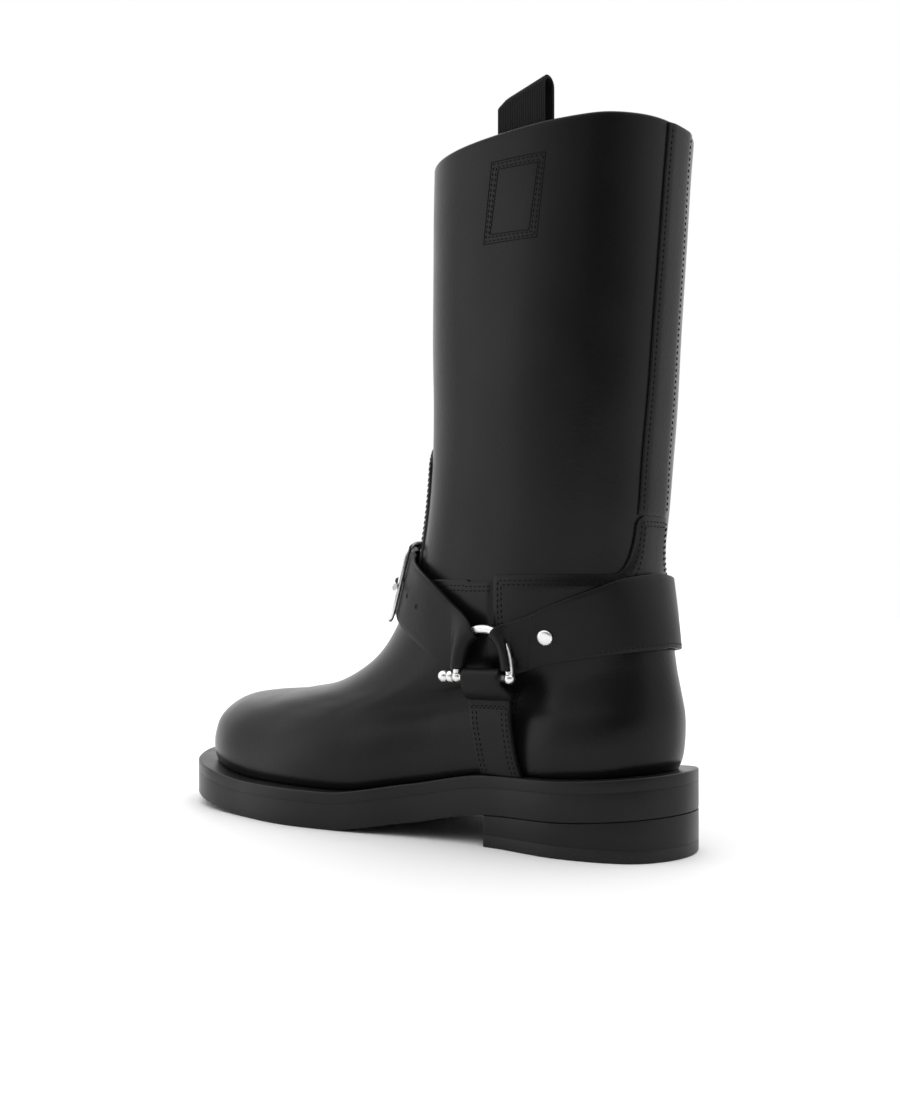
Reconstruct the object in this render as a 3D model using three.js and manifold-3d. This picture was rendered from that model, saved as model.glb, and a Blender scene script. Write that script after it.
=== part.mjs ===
// A tall harness boot for the left foot: a pull-on leather leg over a round-toed foot, a thick
// welted sole with a low stacked heel, and straps that meet at a metal shackle on each side.
// Millimetres. +Z is up, the toe points to -Y, and +X is the wearer's left, the outer side.
// The origin is on the floor at the middle of the sole's outline.
import * as THREE from 'three';
import { mergeGeometries, mergeVertices } from 'three/addons/utils/BufferGeometryUtils.js';
import Module from 'manifold-3d';

const wasm = await Module();
wasm.setup();

// Driving dimensions of the sole.
const soleLength = 300;
const ballWidth = 110;
const soleThickness = 17.8;
const weltThickness = 5.5;
const topLiftThickness = 5.5;
const heelLength = 79.5;
const heelRise = 18.6;
const edgeBevel = 1;

// Driving dimensions of the upper. Its height runs from the welt under the heel to the collar.
const upperHeight = 273.5;
const upperWall = 2.2;
const coverWall = 1.7;
const backStayWall = 1.2;

// Back strip: its width at the foot and at the collar, and how far it drifts to the inner side.
const backStay = { footWidth: 22.5, topWidth: 20, topShift: 2.8 };

const insoleThickness = 3;
const insoleClearance = 0.7;

// Top edges of the vamp and counter, above the heel seat, and their raised tongues.
const sideSeam = 72;
const vampEdge = 80.8;
const counterEdge = 83.4;
const vampTongue = { width: 50, top: 146, corner: 12, sweep: 26, fillet: 6 };
const counterTongue = { width: 24, top: 108.5, corner: 5, sweep: 9, fillet: 20 };

// Driving dimensions of the harness.
const strapThickness = 2.4;
const loopPly = 1.8;
const archThickness = 2.6;
const shackle = {
  place: 74.5,
  height: 41,
  width: 26.5,
  rise: 21,
  lean: 4.5,
  wire: 1.9,
  pin: 1.7,
  foot: 2.5,
  knob: 3.4,
};
const rivet = { radius: 3.5, height: 1.6, bearing: 0.094, across: 0.49 };
const buckle = {
  bearing: 0.437,
  length: 26,
  width: 38,
  bar: 3.4,
  rearShare: 0.7,
  thickness: 2.6,
  prong: 3,
  eye: 3.1,
};
const pullLoop = { place: 58, width: 25, rise: 19.5, depth: 34, ply: 1.5, gap: 5.4, hem: 3.6 };

// Clearance between touching pieces, and over the curved welt.
const seam = 0.3;
const weltSeat = 0.5;
const strapClearance = 0.8;
const wireClearance = 0.3;

// Sole outline. Each row gives how far along the sole it lies, and the half widths
// to the outer and inner side, as shares of the ball width.
const outlineRows = [
  { at: 0.03, outer: 0.225, inner: 0.225 },
  { at: 0.13, outer: 0.344, inner: 0.344 },
  { at: 0.25, outer: 0.346, inner: 0.33 },
  { at: 0.38, outer: 0.402, inner: 0.312 },
  { at: 0.52, outer: 0.502, inner: 0.355 },
  { at: 0.63, outer: 0.553, inner: 0.42 },
  { at: 0.74, outer: 0.53, inner: 0.447 },
  { at: 0.86, outer: 0.47, inner: 0.4 },
  { at: 0.945, outer: 0.315, inner: 0.26 },
];
const toeCentre = 0.045;

// Underside of the outsole. Lift is its height over the floor as a share of the heel rise.
const liftRows = [
  { at: 0, lift: 1 },
  { at: 0.13, lift: 0.81 },
  { at: 0.265, lift: 0.74 },
  { at: 0.4, lift: 0.36 },
  { at: 0.55, lift: 0 },
  { at: 0.64, lift: 0 },
  { at: 0.73, lift: 0 },
  { at: 0.86, lift: 0.19 },
  { at: 1, lift: 0.4 },
];

// Sections of the upper, from the welt to the collar. Back and front are shares of the sole
// length, outer and inner the greatest half widths as shares of the ball width, and the two
// heights shares of the upper's height over the heel seat. Oval is 0 for a foot's outline and
// 1 for a leg's. Follow is 1 where a section keeps to the curve of the sole and 0 where it is
// a plane. Droop is how far its sides hang below its ends, as a share of the upper's height.
const columns = ['back', 'front', 'outer', 'inner', 'backUp', 'frontUp', 'oval', 'follow', 'droop'];
const sections = [
  [0.034, 0.958, 0.455, 0.347, 0, 0, 0, 1, 0],
  [0.0275, 0.962, 0.471, 0.363, 0.0188, 0.0173, 0, 1, 0],
  [0.024, 0.961, 0.474, 0.367, 0.0479, 0.0463, 0, 1, 0],
  [0.0235, 0.947, 0.457, 0.358, 0.084, 0.0786, 0, 0.9, 0.009],
  [0.0275, 0.904, 0.417, 0.327, 0.1169, 0.102, 0, 0.75, 0.016],
  [0.034, 0.838, 0.386, 0.305, 0.1533, 0.111, 0.1, 0.6, 0.023],
  [0.04, 0.745, 0.368, 0.305, 0.1869, 0.1135, 0.3, 0.4, 0.03],
  [0.047, 0.648, 0.36, 0.315, 0.2192, 0.1205, 0.6, 0.2, 0.034],
  [0.056, 0.562, 0.355, 0.32, 0.2545, 0.1516, 0.85, 0, 0.034],
  [0.06, 0.508, 0.353, 0.33, 0.2953, 0.2102, 1, 0, 0.03],
  [0.058, 0.47, 0.355, 0.345, 0.343, 0.2908, 1, 0, 0.023],
  [0.052, 0.445, 0.362, 0.357, 0.4088, 0.3793, 1, 0, 0.014],
  [0.047, 0.431, 0.37, 0.37, 0.4893, 0.478, 1, 0, 0.007],
  [0.04, 0.426, 0.378, 0.378, 0.5813, 0.5813, 1, 0, 0],
  [0.034, 0.427, 0.383, 0.383, 0.6913, 0.6913, 1, 0, 0],
  [0.027, 0.426, 0.387, 0.387, 0.8014, 0.8014, 1, 0, 0],
  [0.02, 0.425, 0.391, 0.391, 0.9115, 0.9115, 1, 0, 0],
  [0.014, 0.422, 0.392, 0.392, 1, 0.996, 1, 0, 0],
].map((row) => Object.fromEntries(columns.map((key, k) => [key, row[k]])));
const legSquareness = 2.5;
const topRow = sections.length - 1;
const coverRow = 13;

// Edges of the straps round the upper. At is a share of a turn about the ankle's axis: 0 at
// the back, 0.25 square to the outer side and 0.5 at the front. Low and high are shares of
// the upper's height over the heel seat, and rise is how far the strap stands off to meet
// the shackle, as a share of the wire's own stand. The inner side mirrors the outer one.
const ankleAxis = 0.317;
const heelStrapRows = [
  { at: 0, low: 0.187, high: 0.308, rise: 0 },
  { at: 0.036, low: 0.182, high: 0.301, rise: 0 },
  { at: 0.058, low: 0.176, high: 0.287, rise: 0 },
  { at: 0.095, low: 0.166, high: 0.262, rise: 0.2 },
  { at: 0.113, low: 0.159, high: 0.25, rise: 0.5 },
  { at: 0.165, low: 0.144, high: 0.23, rise: 1.4 },
];
const instepStrapRows = [
  { at: 0.182, low: 0.148, high: 0.232, rise: 1.5 },
  { at: 0.25, low: 0.155, high: 0.274, rise: 1 },
  { at: 0.305, low: 0.181, high: 0.303, rise: 0.6 },
  { at: 0.387, low: 0.222, high: 0.334, rise: 0.1 },
  { at: 0.437, low: 0.247, high: 0.346, rise: 0 },
  { at: 0.5, low: 0.262, high: 0.353, rise: 0 },
];

// Edges of the strap that hangs from the shackle's pin to the welt. At is 0 at the welt and 1
// at the pin, and front and back lie that many shares of the shackle's width before its middle.
const archStrapRows = [
  { at: 0, front: 0.3, back: -0.55, rise: 0 },
  { at: 0.35, front: 0.35, back: -0.45, rise: 0.5 },
  { at: 0.7, front: 0.46, back: -0.36, rise: 1.4 },
  { at: 0.88, front: 0.43, back: -0.4, rise: 2 },
];

const leather = new THREE.MeshStandardMaterial({ color: 0x1b1b1c, roughness: 0.42, metalness: 0 });
const soleEdge = new THREE.MeshStandardMaterial({ color: 0x19191a, roughness: 0.5, metalness: 0 });
const rubber = new THREE.MeshStandardMaterial({ color: 0x141416, roughness: 0.7, metalness: 0 });
const lining = new THREE.MeshStandardMaterial({ color: 0x222021, roughness: 0.7, metalness: 0 });
const webbing = new THREE.MeshStandardMaterial({ color: 0x121213, roughness: 0.85, metalness: 0 });
const metal = new THREE.MeshStandardMaterial({ color: 0xc9c9c6, roughness: 0.18, metalness: 1 });

const group = new THREE.Group();
const mix = THREE.MathUtils.lerp;
const { smoothstep } = THREE.MathUtils;

function addMesh(name, geometry, material) {
  const mesh = new THREE.Mesh(geometry, material);
  mesh.name = name;
  group.add(mesh);
}

// A value between the rows of a table, by a monotone cubic that never overshoots.
function between(rows, key, x) {
  const last = rows.length - 1;
  if (x <= rows[0].at) return rows[0][key];
  if (x >= rows[last].at) return rows[last][key];
  const slope = (i) => (rows[i + 1][key] - rows[i][key]) / (rows[i + 1].at - rows[i].at);
  const tangent = (i) => {
    if (i === 0) return slope(0);
    if (i === last) return slope(last - 1);
    const before = slope(i - 1);
    const after = slope(i);
    return before * after <= 0 ? 0 : (2 * before * after) / (before + after);
  };
  const i = rows.findIndex((_, k) => x < rows[k + 1].at);
  const span = rows[i + 1].at - rows[i].at;
  const q = (x - rows[i].at) / span;
  return (
    rows[i][key] * (1 + 2 * q) * (1 - q) ** 2 +
    tangent(i) * span * q * (1 - q) ** 2 +
    rows[i + 1][key] * q * q * (3 - 2 * q) -
    tangent(i + 1) * span * q * q * (1 - q)
  );
}

// Heights of the sole's underside and of the welt's top, at one place along the sole.
const underside = (along) => between(liftRows, 'lift', along / soleLength) * heelRise;
const weltTop = (along) => underside(along) + soleThickness;
const heelSeat = weltTop(0);

// The sole's outline as a closed line of points, x along from the back and y to the outer side.
function soleOutline(inset, count = 480) {
  const onSide = (key, sign) =>
    outlineRows.map((r) => new THREE.Vector3(r.at * soleLength, sign * r[key] * ballWidth, 0));
  const back = new THREE.Vector3(0, 0, 0);
  const toe = new THREE.Vector3(soleLength, toeCentre * ballWidth, 0);
  const points = [back, ...onSide('outer', 1), toe, ...onSide('inner', -1).reverse()];
  const curve = new THREE.CatmullRomCurve3(points, true, 'centripetal');
  return Array.from({ length: count }, (_, i) => {
    const point = curve.getPoint(i / count);
    const heading = curve.getTangent(i / count);
    return new THREE.Vector2(point.x + heading.y * inset, point.y - heading.x * inset);
  });
}

// How far a closed outline reaches to its outer and inner side, at one place along it.
function reach(outline, along) {
  const found = { outer: 0, inner: 0 };
  outline.forEach((p, i) => {
    const q = outline[(i + 1) % outline.length];
    if ((p.x - along) * (q.x - along) > 0 || p.x === q.x) return;
    const y = p.y + ((q.y - p.y) * (along - p.x)) / (q.x - p.x);
    if (p.x < q.x) found.outer = y;
    else found.inner = y;
  });
  return found;
}

const edgeLine = soleOutline(0);
const edgeX = edgeLine.map((p) => p.x);
const edgeY = edgeLine.map((p) => p.y);
const edge = {
  back: Math.min(...edgeX),
  front: Math.max(...edgeX),
  outer: Math.max(...edgeY),
  inner: Math.min(...edgeY),
};
const middle = { along: (edge.back + edge.front) / 2, across: (edge.outer + edge.inner) / 2 };

// From the last's own measures, along, across and up, to the boot's frame.
const place = (along, across, up) =>
  new THREE.Vector3(across - middle.across, middle.along - along, up);

// The sections' values at a row that need not be whole, by a smooth curve through the rows.
function sectionAt(row) {
  const i = Math.min(Math.floor(row), topRow - 1);
  const q = row - i;
  const pick = (k) => sections[Math.min(Math.max(k, 0), topRow)];
  const [a, b, c, d] = [pick(i - 1), pick(i), pick(i + 1), pick(i + 2)];
  const value = {};
  Object.keys(b).forEach((key) => {
    const bend = -a[key] + 3 * b[key] - 3 * c[key] + d[key];
    const curve = 2 * a[key] - 5 * b[key] + 4 * c[key] - d[key];
    value[key] = b[key] + 0.5 * q * (c[key] - a[key] + q * (curve + q * bend));
  });
  return value;
}

// A point of the upper's outer face. Around runs from the back seam by the outer side.
function upperPoint(around, row) {
  const s = sectionAt(row);
  const angle = 2 * Math.PI * around;
  const t = (1 - Math.cos(angle)) / 2;
  const side = Math.sin(angle);
  const along = mix(s.back, s.front, t) * soleLength;
  const sole = reach(edgeLine, mix(edge.back, edge.front, t));
  const footOuter = (sole.outer / edge.outer) * s.outer * ballWidth;
  const footInner = (sole.inner / -edge.inner) * s.inner * ballWidth;
  const legHalf = (1 - Math.abs(2 * t - 1) ** legSquareness) ** (1 / legSquareness) * ballWidth;
  const atEnd = Math.abs(side) < 1e-9;
  const foot = atEnd ? (footOuter + footInner) / 2 : side > 0 ? footOuter : footInner;
  const leg = side > 0 ? legHalf * s.outer : -legHalf * s.inner;
  const across = mix(foot, atEnd ? 0 : leg, s.oval);
  const level = mix(s.backUp, s.frontUp, t) - s.droop * side * side;
  const up = heelSeat + weltSeat + level * upperHeight + s.follow * (weltTop(along) - heelSeat);
  return place(along, across, up);
}

// The outward direction of the upper's face, kept level where it tucks in under at the welt.
function upperNormal(around, row) {
  const stepAround = 2e-3;
  const stepRow = 0.02;
  const above = upperPoint(around, Math.min(row + stepRow, topRow));
  const below = upperPoint(around, Math.max(row - stepRow, 0));
  const next = upperPoint(around + stepAround, row);
  const before = upperPoint(around - stepAround, row);
  const normal = above.sub(below).cross(next.sub(before)).normalize();
  normal.z *= smoothstep(row, 0, 1.5) * smoothstep(topRow - row, 0, 0.5);
  return normal.normalize();
}

const offUpper = (around, row, offset) =>
  upperPoint(around, row).addScaledVector(upperNormal(around, row), offset);

// The row at which the upper's face reaches a height, on one line up its side.
function rowAtHeight(around, up) {
  let low = 0;
  let high = topRow;
  for (let i = 0; i < 24; i++) {
    const row = (low + high) / 2;
    if (upperPoint(around, row).z < up) low = row;
    else high = row;
  }
  return (low + high) / 2;
}

// The place around the upper, on one side and at one height, where a measure of the point
// there grows past a value.
function aroundWhere(side, up, measure, value) {
  let near = 0;
  let far = 0.5;
  for (let i = 0; i < 20; i++) {
    const half = (near + far) / 2;
    const around = side > 0 ? half : 1 - half;
    if (measure(upperPoint(around, rowAtHeight(around, up))) < value) near = half;
    else far = half;
  }
  return side > 0 ? (near + far) / 2 : 1 - (near + far) / 2;
}
const alongOf = (point) => middle.along - point.y;
const bearingOf = (point) => {
  const ahead = alongOf(point) - ankleAxis * soleLength;
  return Math.atan2(Math.abs(point.x + middle.across), -ahead) / (2 * Math.PI);
};

// The upper's face at one height, at a place along it or at a bearing from the ankle's axis.
function faceAt(around, up) {
  const row = rowAtHeight(around, up);
  return { point: upperPoint(around, row), normal: upperNormal(around, row) };
}
const faceAlong = (side, along, up) => faceAt(aroundWhere(side, up, alongOf, along), up);
const faceBearing = (bearing, up) => {
  const side = bearing > 0.5 || bearing < 0 ? -1 : 1;
  const turn = Math.abs(bearing > 0.5 ? 1 - bearing : bearing);
  return faceAt(aroundWhere(side, up, bearingOf, turn), up);
};

// A closed solid from closed loops of points. The stack wraps round, or ends in two caps.
function solidFromLoops(loops, wrap = false) {
  const size = loops[0].length;
  const index = [];
  const at = (loop, k) => (loop % loops.length) * size + (k % size);
  const quad = (a, b, c, d) => index.push(a, b, c, a, c, d);
  const bands = wrap ? loops.length : loops.length - 1;
  for (let loop = 0; loop < bands; loop++) {
    for (let k = 0; k < size; k++) {
      const corners = [at(loop, k), at(loop + 1, k), at(loop + 1, k + 1), at(loop, k + 1)];
      if (wrap && k >= size / 2) corners.push(corners.shift());
      quad(...corners);
    }
  }
  const last = loops.length - 1;
  for (let k = 0; !wrap && k < size / 2 - 1; k++) {
    quad(at(0, k), at(0, k + 1), at(0, size - 2 - k), at(0, size - 1 - k));
    quad(at(last, size - 1 - k), at(last, size - 2 - k), at(last, k + 1), at(last, k));
  }
  const geometry = new THREE.BufferGeometry().setFromPoints(loops.flat());
  geometry.setIndex(index);
  return faceOut(geometry);
}

// Turns a closed geometry's faces outwards where its volume comes out negative.
function faceOut(geometry) {
  const { position } = geometry.attributes;
  const index = geometry.index.array;
  const corner = (i) => new THREE.Vector3().fromBufferAttribute(position, index[i]);
  let volume = 0;
  for (let i = 0; i < index.length; i += 3) {
    volume += corner(i).dot(corner(i + 1).cross(corner(i + 2)));
  }
  if (volume < 0) geometry.setIndex(Array.from(index).reverse());
  return geometry;
}

function toSolid(geometry) {
  const bare = geometry.clone();
  bare.deleteAttribute('normal');
  bare.deleteAttribute('uv');
  const merged = mergeVertices(bare, 1e-4);
  const mesh = new wasm.Mesh({
    numProp: 3,
    vertProperties: new Float32Array(merged.attributes.position.array),
    triVerts: new Uint32Array(merged.index.array),
  });
  return new wasm.Manifold(mesh);
}

function toGeometry(solid) {
  const mesh = solid.getMesh();
  const geometry = new THREE.BufferGeometry();
  geometry.setAttribute('position', new THREE.BufferAttribute(mesh.vertProperties, 3));
  geometry.setIndex(new THREE.BufferAttribute(mesh.triVerts, 1));
  return geometry;
}

// Sole pieces

// A ring round the sole at one inset, with pairs of points straight across from each other.
function soleRing(inset, height, length = soleLength, pairs = 22) {
  const outline = soleOutline(inset);
  const ends = outline.map((p) => p.x);
  const start = Math.min(...ends);
  const whole = length >= soleLength;
  const finish = whole ? Math.max(...ends) : length;
  const turn = whole ? Math.PI : Math.PI / 2;
  const outer = [];
  const inner = [];
  for (let i = 0; i < pairs; i++) {
    const share = whole ? (i + 0.5) / pairs : (i + 0.5) / (pairs - 0.5);
    const along = start + ((finish - start) * (1 - Math.cos(turn * share))) / (whole ? 2 : 1);
    const sides = reach(outline, along);
    outer.push(place(along, sides.outer, height(along)));
    inner.unshift(place(along, sides.inner, height(along)));
  }
  return [...outer, ...inner];
}

const raised = (height, by) => (along) => height(along) + by;
const level = (height) => () => height;

function slab(bottom, top, length) {
  return solidFromLoops([
    soleRing(edgeBevel, bottom, length),
    soleRing(0, raised(bottom, edgeBevel), length),
    soleRing(0, raised(top, -edgeBevel), length),
    soleRing(edgeBevel, top, length),
  ]);
}

const weltUnder = raised(weltTop, -weltThickness);
addMesh('outsole', slab(underside, raised(weltUnder, -seam)), rubber);
addMesh('midsole_welt', slab(weltUnder, weltTop), soleEdge);
addMesh('heel_top_lift', slab(level(0), level(topLiftThickness), heelLength), rubber);
addMesh(
  'heel_block',
  slab(level(topLiftThickness + seam), raised(underside, -seam), heelLength),
  soleEdge,
);

// Columns of faces round the upper and what fits it
const aroundColumns = 32;

// Insole, inside the foot of the upper on the welt
function insoleRing(rise) {
  const inset = -(upperWall + insoleClearance);
  return Array.from({ length: aroundColumns }, (_, i) => {
    const point = offUpper((i + 0.5) / aroundColumns, 0, inset);
    point.z = weltTop(middle.along - point.y) + weltSeat + rise;
    return point;
  });
}
addMesh('insole', solidFromLoops([insoleRing(0), insoleRing(insoleThickness)]), lining);

// Upper, one hollow wall from the welt to the collar
const halfRows = [3.5, 4.5, 5.5, 6.5, 7.5];
const wholeRows = [...sections.keys(), ...halfRows].sort((a, b) => a - b);

// A shell that keeps to the upper's face between two offsets.
function shell(inside, outside, rows) {
  const loops = [];
  for (let i = 0; i < aroundColumns; i++) {
    const around = i / aroundColumns;
    const outer = rows.map((row) => offUpper(around, row, outside));
    const inner = rows.map((row) => offUpper(around, row, inside));
    loops.push([...outer, ...inner.reverse()]);
  }
  return solidFromLoops(loops, true);
}
addMesh('upper', shell(-upperWall, 0, wholeRows), leather);

// Vamp, counter and back stay, cut from shells a seam outside the upper
function sidePrism(corners) {
  const shape = new THREE.Shape(corners.map(([along, up]) => new THREE.Vector2(along, up)));
  const prism = new THREE.ExtrudeGeometry(shape, { depth: 2 * ballWidth, bevelEnabled: false });
  const basis = new THREE.Matrix4().makeBasis(
    new THREE.Vector3(0, -1, 0),
    new THREE.Vector3(0, 0, 1),
    new THREE.Vector3(-1, 0, 0),
  );
  basis.setPosition(place(0, ballWidth, 0));
  return toSolid(prism.applyMatrix4(basis));
}

// A tongue standing on a level edge, seen from the front: round corners above, and below an
// elliptical fillet as wide as its sweep.
function tonguePrism(tongue, foot, from) {
  const half = tongue.width / 2;
  const top = heelSeat + tongue.top;
  const shape = new THREE.Shape();
  const { sweep, fillet } = tongue;
  const reach = half + sweep;
  shape.moveTo(-reach, foot - fillet);
  shape.lineTo(reach, foot - fillet);
  shape.lineTo(reach, foot);
  shape.absellipse(reach, foot + fillet, sweep, fillet, -Math.PI / 2, -Math.PI, true);
  shape.lineTo(half, top - tongue.corner);
  shape.absarc(half - tongue.corner, top - tongue.corner, tongue.corner, 0, Math.PI / 2, false);
  shape.absarc(-half + tongue.corner, top - tongue.corner, tongue.corner, Math.PI / 2, Math.PI, false);
  shape.absellipse(-reach, foot + fillet, sweep, fillet, 0, -Math.PI / 2, true);
  const options = { depth: soleLength / 2, bevelEnabled: false, curveSegments: 4 };
  const prism = new THREE.ExtrudeGeometry(shape, options);
  const basis = new THREE.Matrix4().makeBasis(
    new THREE.Vector3(1, 0, 0),
    new THREE.Vector3(0, 0, 1),
    new THREE.Vector3(0, -1, 0),
  );
  basis.setPosition(place(from, 0, 0));
  return toSolid(prism.applyMatrix4(basis));
}

const coverOffset = seam + coverWall;
const coverRows = wholeRows.filter((row) => row <= coverRow);
const cover = toSolid(shell(seam, coverOffset, coverRows));
const beyond = 60;
const vampTop = heelSeat + vampEdge;
const vampRegion = sidePrism([
  [sideSeam + seam / 2, -beyond],
  [soleLength + beyond, -beyond],
  [soleLength + beyond, vampTop],
  [sideSeam + seam / 2, vampTop],
]).add(tonguePrism(vampTongue, vampTop, sideSeam + beyond / 2));
const counterTop = heelSeat + counterEdge;
const counterRegion = sidePrism([
  [-beyond, -beyond],
  [sideSeam - seam / 2, -beyond],
  [sideSeam - seam / 2, counterTop],
  [-beyond, counterTop],
]).add(tonguePrism(counterTongue, counterTop, sideSeam - soleLength / 2 - beyond / 2));
addMesh('vamp', toGeometry(cover.intersect(vampRegion)), leather);
addMesh('counter', toGeometry(cover.intersect(counterRegion)), leather);

const stayRows = wholeRows.filter((row) => row >= 9);
const stayFoot = heelSeat + counterTongue.top + seam;
const stayTop = heelSeat + upperHeight + 2 * seam;
const stayRegion = new THREE.Shape([
  new THREE.Vector2(-backStay.footWidth / 2, stayFoot),
  new THREE.Vector2(backStay.footWidth / 2, stayFoot),
  new THREE.Vector2(backStay.topWidth / 2 - backStay.topShift, stayTop),
  new THREE.Vector2(-backStay.topWidth / 2 - backStay.topShift, stayTop),
]);
const stayCut = new THREE.ExtrudeGeometry(stayRegion, { depth: beyond, bevelEnabled: false });
stayCut.rotateX(Math.PI / 2);
stayCut.translate(-middle.across, middle.along + beyond / 4, 0);
const stay = toSolid(shell(seam, seam + backStayWall, stayRows)).intersect(toSolid(stayCut));
addMesh('back_stay', toGeometry(stay), leather);

// Harness straps, flat across their width between two edges that lie round the upper
const strapStand = coverOffset + strapClearance;
const eyeRadius = shackle.wire + wireClearance + loopPly;
const wireStand = strapStand + eyeRadius;

// A point of a strap held between two edges on the upper, clear of the faces between them.
// Across is 0 at its low edge and 1 at its high edge, and out is how far it lies off the
// strap's inner face.
function onStrap(low, high, faces, lift, across, out) {
  const normal = low.normal.clone().add(high.normal).normalize();
  const bulges = faces.map((face) => face.point.clone().sub(low.point).dot(normal));
  const offset = strapStand + lift * strapLift + Math.max(0, ...bulges) + out;
  return low.point.clone().lerp(high.point, across).addScaledVector(normal, offset);
}
const underStrap = [0.25, 0.5, 0.75];
const strapLift = wireStand - strapStand - strapThickness / 2;
const bowReach = 3 * wireStand;
const upAt = (share) => heelSeat + share * upperHeight;

// The same for a strap that runs round the upper, at one bearing.
function strapPoint(rows, bearing, across, out) {
  const at = bearing > 0.5 ? 1 - bearing : Math.abs(bearing);
  const [bottom, top] = [between(rows, 'low', at), between(rows, 'high', at)];
  const low = faceBearing(bearing, upAt(bottom));
  const high = faceBearing(bearing, upAt(top));
  const faces = underStrap.map((share) => faceBearing(bearing, upAt(mix(bottom, top, share))));
  return onStrap(low, high, faces, between(rows, 'rise', at), across, out);
}

// A strap from one place round the upper to another. Layer lifts it over another strap.
function strapSolid(rows, from, to, steps, layer = () => 0) {
  const loops = [];
  for (let i = 0; i <= steps; i++) {
    const bearing = mix(from, to, i / steps);
    const inner = layer(bearing);
    const corner = (across, out) => strapPoint(rows, bearing, across, inner + out);
    const outer = strapThickness;
    loops.push([corner(0, 0), corner(1, 0), corner(1, outer), corner(0, outer)]);
  }
  return toSolid(solidFromLoops(loops));
}

// Shackle: a bow of wire whose feet are joined by a straight pin, held off the upper
function shackleFrame(side) {
  const up = heelSeat + shackle.height;
  const { point, normal } = faceAlong(side, shackle.place, up + shackle.rise / 2);
  const tangentUp = new THREE.Vector3(0, 0, 1).addScaledVector(normal, -normal.z).normalize();
  const tangentAlong = tangentUp.clone().cross(normal);
  const centre = point.addScaledVector(normal, wireStand + shackle.lean);
  centre.addScaledVector(tangentUp, -shackle.rise / 2);
  // The pin stands further off than the top of the bow, which leans towards the boot.
  const upward = tangentUp.multiplyScalar(shackle.rise).addScaledVector(normal, -shackle.lean);
  upward.normalize();
  const outward = tangentAlong.clone().cross(upward);
  const frame = new THREE.Matrix4().makeBasis(tangentAlong, upward, outward);
  return frame.setPosition(centre);
}

// The bow's centre line, in the shackle's own frame, with its pin along the first axis.
function bowPoint(share) {
  const angle = Math.PI * share;
  const x = -Math.cos(angle);
  const y = Math.sin(angle);
  const fullness = 0.86;
  const bow = (value) => Math.sign(value) * Math.abs(value) ** fullness;
  return new THREE.Vector3((bow(x) * shackle.width) / 2, bow(y) * shackle.rise, 0);
}

// A rod of round section along part of the bow.
const wireSides = 8;
const bowSteps = 10;
function alongBow(from, to, radius, steps, frame) {
  const loops = [];
  for (let i = 0; i <= steps; i++) {
    const share = mix(from, to, i / steps);
    const heading = bowPoint(share + 0.002).sub(bowPoint(share - 0.002)).normalize();
    const sideways = new THREE.Vector3(0, 0, 1).cross(heading);
    const loop = [];
    for (let k = 0; k < wireSides; k++) {
      const angle = (2 * Math.PI * (k + 0.5)) / wireSides;
      const point = bowPoint(share).addScaledVector(sideways, Math.cos(angle) * radius);
      point.z += Math.sin(angle) * radius;
      loop.push(point.applyMatrix4(frame));
    }
    loops.push(loop);
  }
  return toSolid(solidFromLoops(loops));
}

function alongPin(from, to, radius, frame) {
  const rod = new THREE.CylinderGeometry(radius, radius, to - from, wireSides);
  rod.rotateZ(Math.PI / 2).translate((from + to) / 2, 0, 0);
  return toSolid(rod.applyMatrix4(frame));
}

// The bow's inside as a thick plate, which cuts a strap back to the bow's centre line.
function bowInside(frame) {
  const line = Array.from({ length: bowSteps + 1 }, (_, i) => bowPoint(i / bowSteps));
  const shape = new THREE.Shape(line.map((p) => new THREE.Vector2(p.x, p.y)));
  shape.lineTo(shackle.width / 2, -shackle.rise / 2);
  shape.lineTo(-shackle.width / 2, -shackle.rise / 2);
  const plate = new THREE.ExtrudeGeometry(shape, { depth: 2 * bowReach, bevelEnabled: false });
  return toSolid(plate.translate(0, 0, -bowReach).applyMatrix4(frame));
}

const sides = [
  { name: 'outer', side: 1 },
  { name: 'inner', side: -1 },
];
const bore = shackle.wire + wireClearance;

// Shares of the bow from its front foot: the instep strap holds the first part of it and the
// heel strap the last.
const frontGrip = [0.08, 0.43];
const backGrip = [0.61, 0.93];
const heelEnd = 0.158;
const instepStart = 0.2;
const tipBearing = 0.585;

// On the outer side the shackle's first axis points back, and on the inner side forwards.
const gripOn = (side, grip) => (side > 0 ? grip : [1 - grip[1], 1 - grip[0]]);

// Measures about the buckle. Ahead is how far in front of the buckle's middle, towards the
// outer shackle, and aside how far from the strap's middle, both in millimetres.
const buckleAt = (bearing, across) => strapPoint(instepStrapRows, bearing, across, 0);
const smallTurn = 0.01;
const perAhead =
  (2 * smallTurn) /
  buckleAt(buckle.bearing - smallTurn, 0.5).distanceTo(buckleAt(buckle.bearing + smallTurn, 0.5));
const perAside = 1 / buckleAt(buckle.bearing, 0).distanceTo(buckleAt(buckle.bearing, 1));
function onBuckle(ahead, aside, out) {
  const bearing = buckle.bearing - ahead * perAhead;
  return strapPoint(instepStrapRows, bearing, 0.5 + aside * perAside, out);
}
const rearBar = {
  ahead: (buckle.bar * buckle.rearShare - buckle.length) / 2,
  out: buckle.eye - strapClearance + seam,
};

// The outer strap rises over the rear bar's eye, then lies on the inner strap.
function overBar(bearing) {
  const ahead = (buckle.bearing - bearing) / perAhead;
  const onStrapBelow = (strapThickness + seam) * smoothstep(-ahead, -buckle.length / 4, 0);
  const near = 1 - smoothstep(Math.abs(ahead - rearBar.ahead), buckle.eye, 3.2 * buckle.eye);
  return Math.max(onStrapBelow, near * (rearBar.out + buckle.eye + seam));
}

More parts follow.
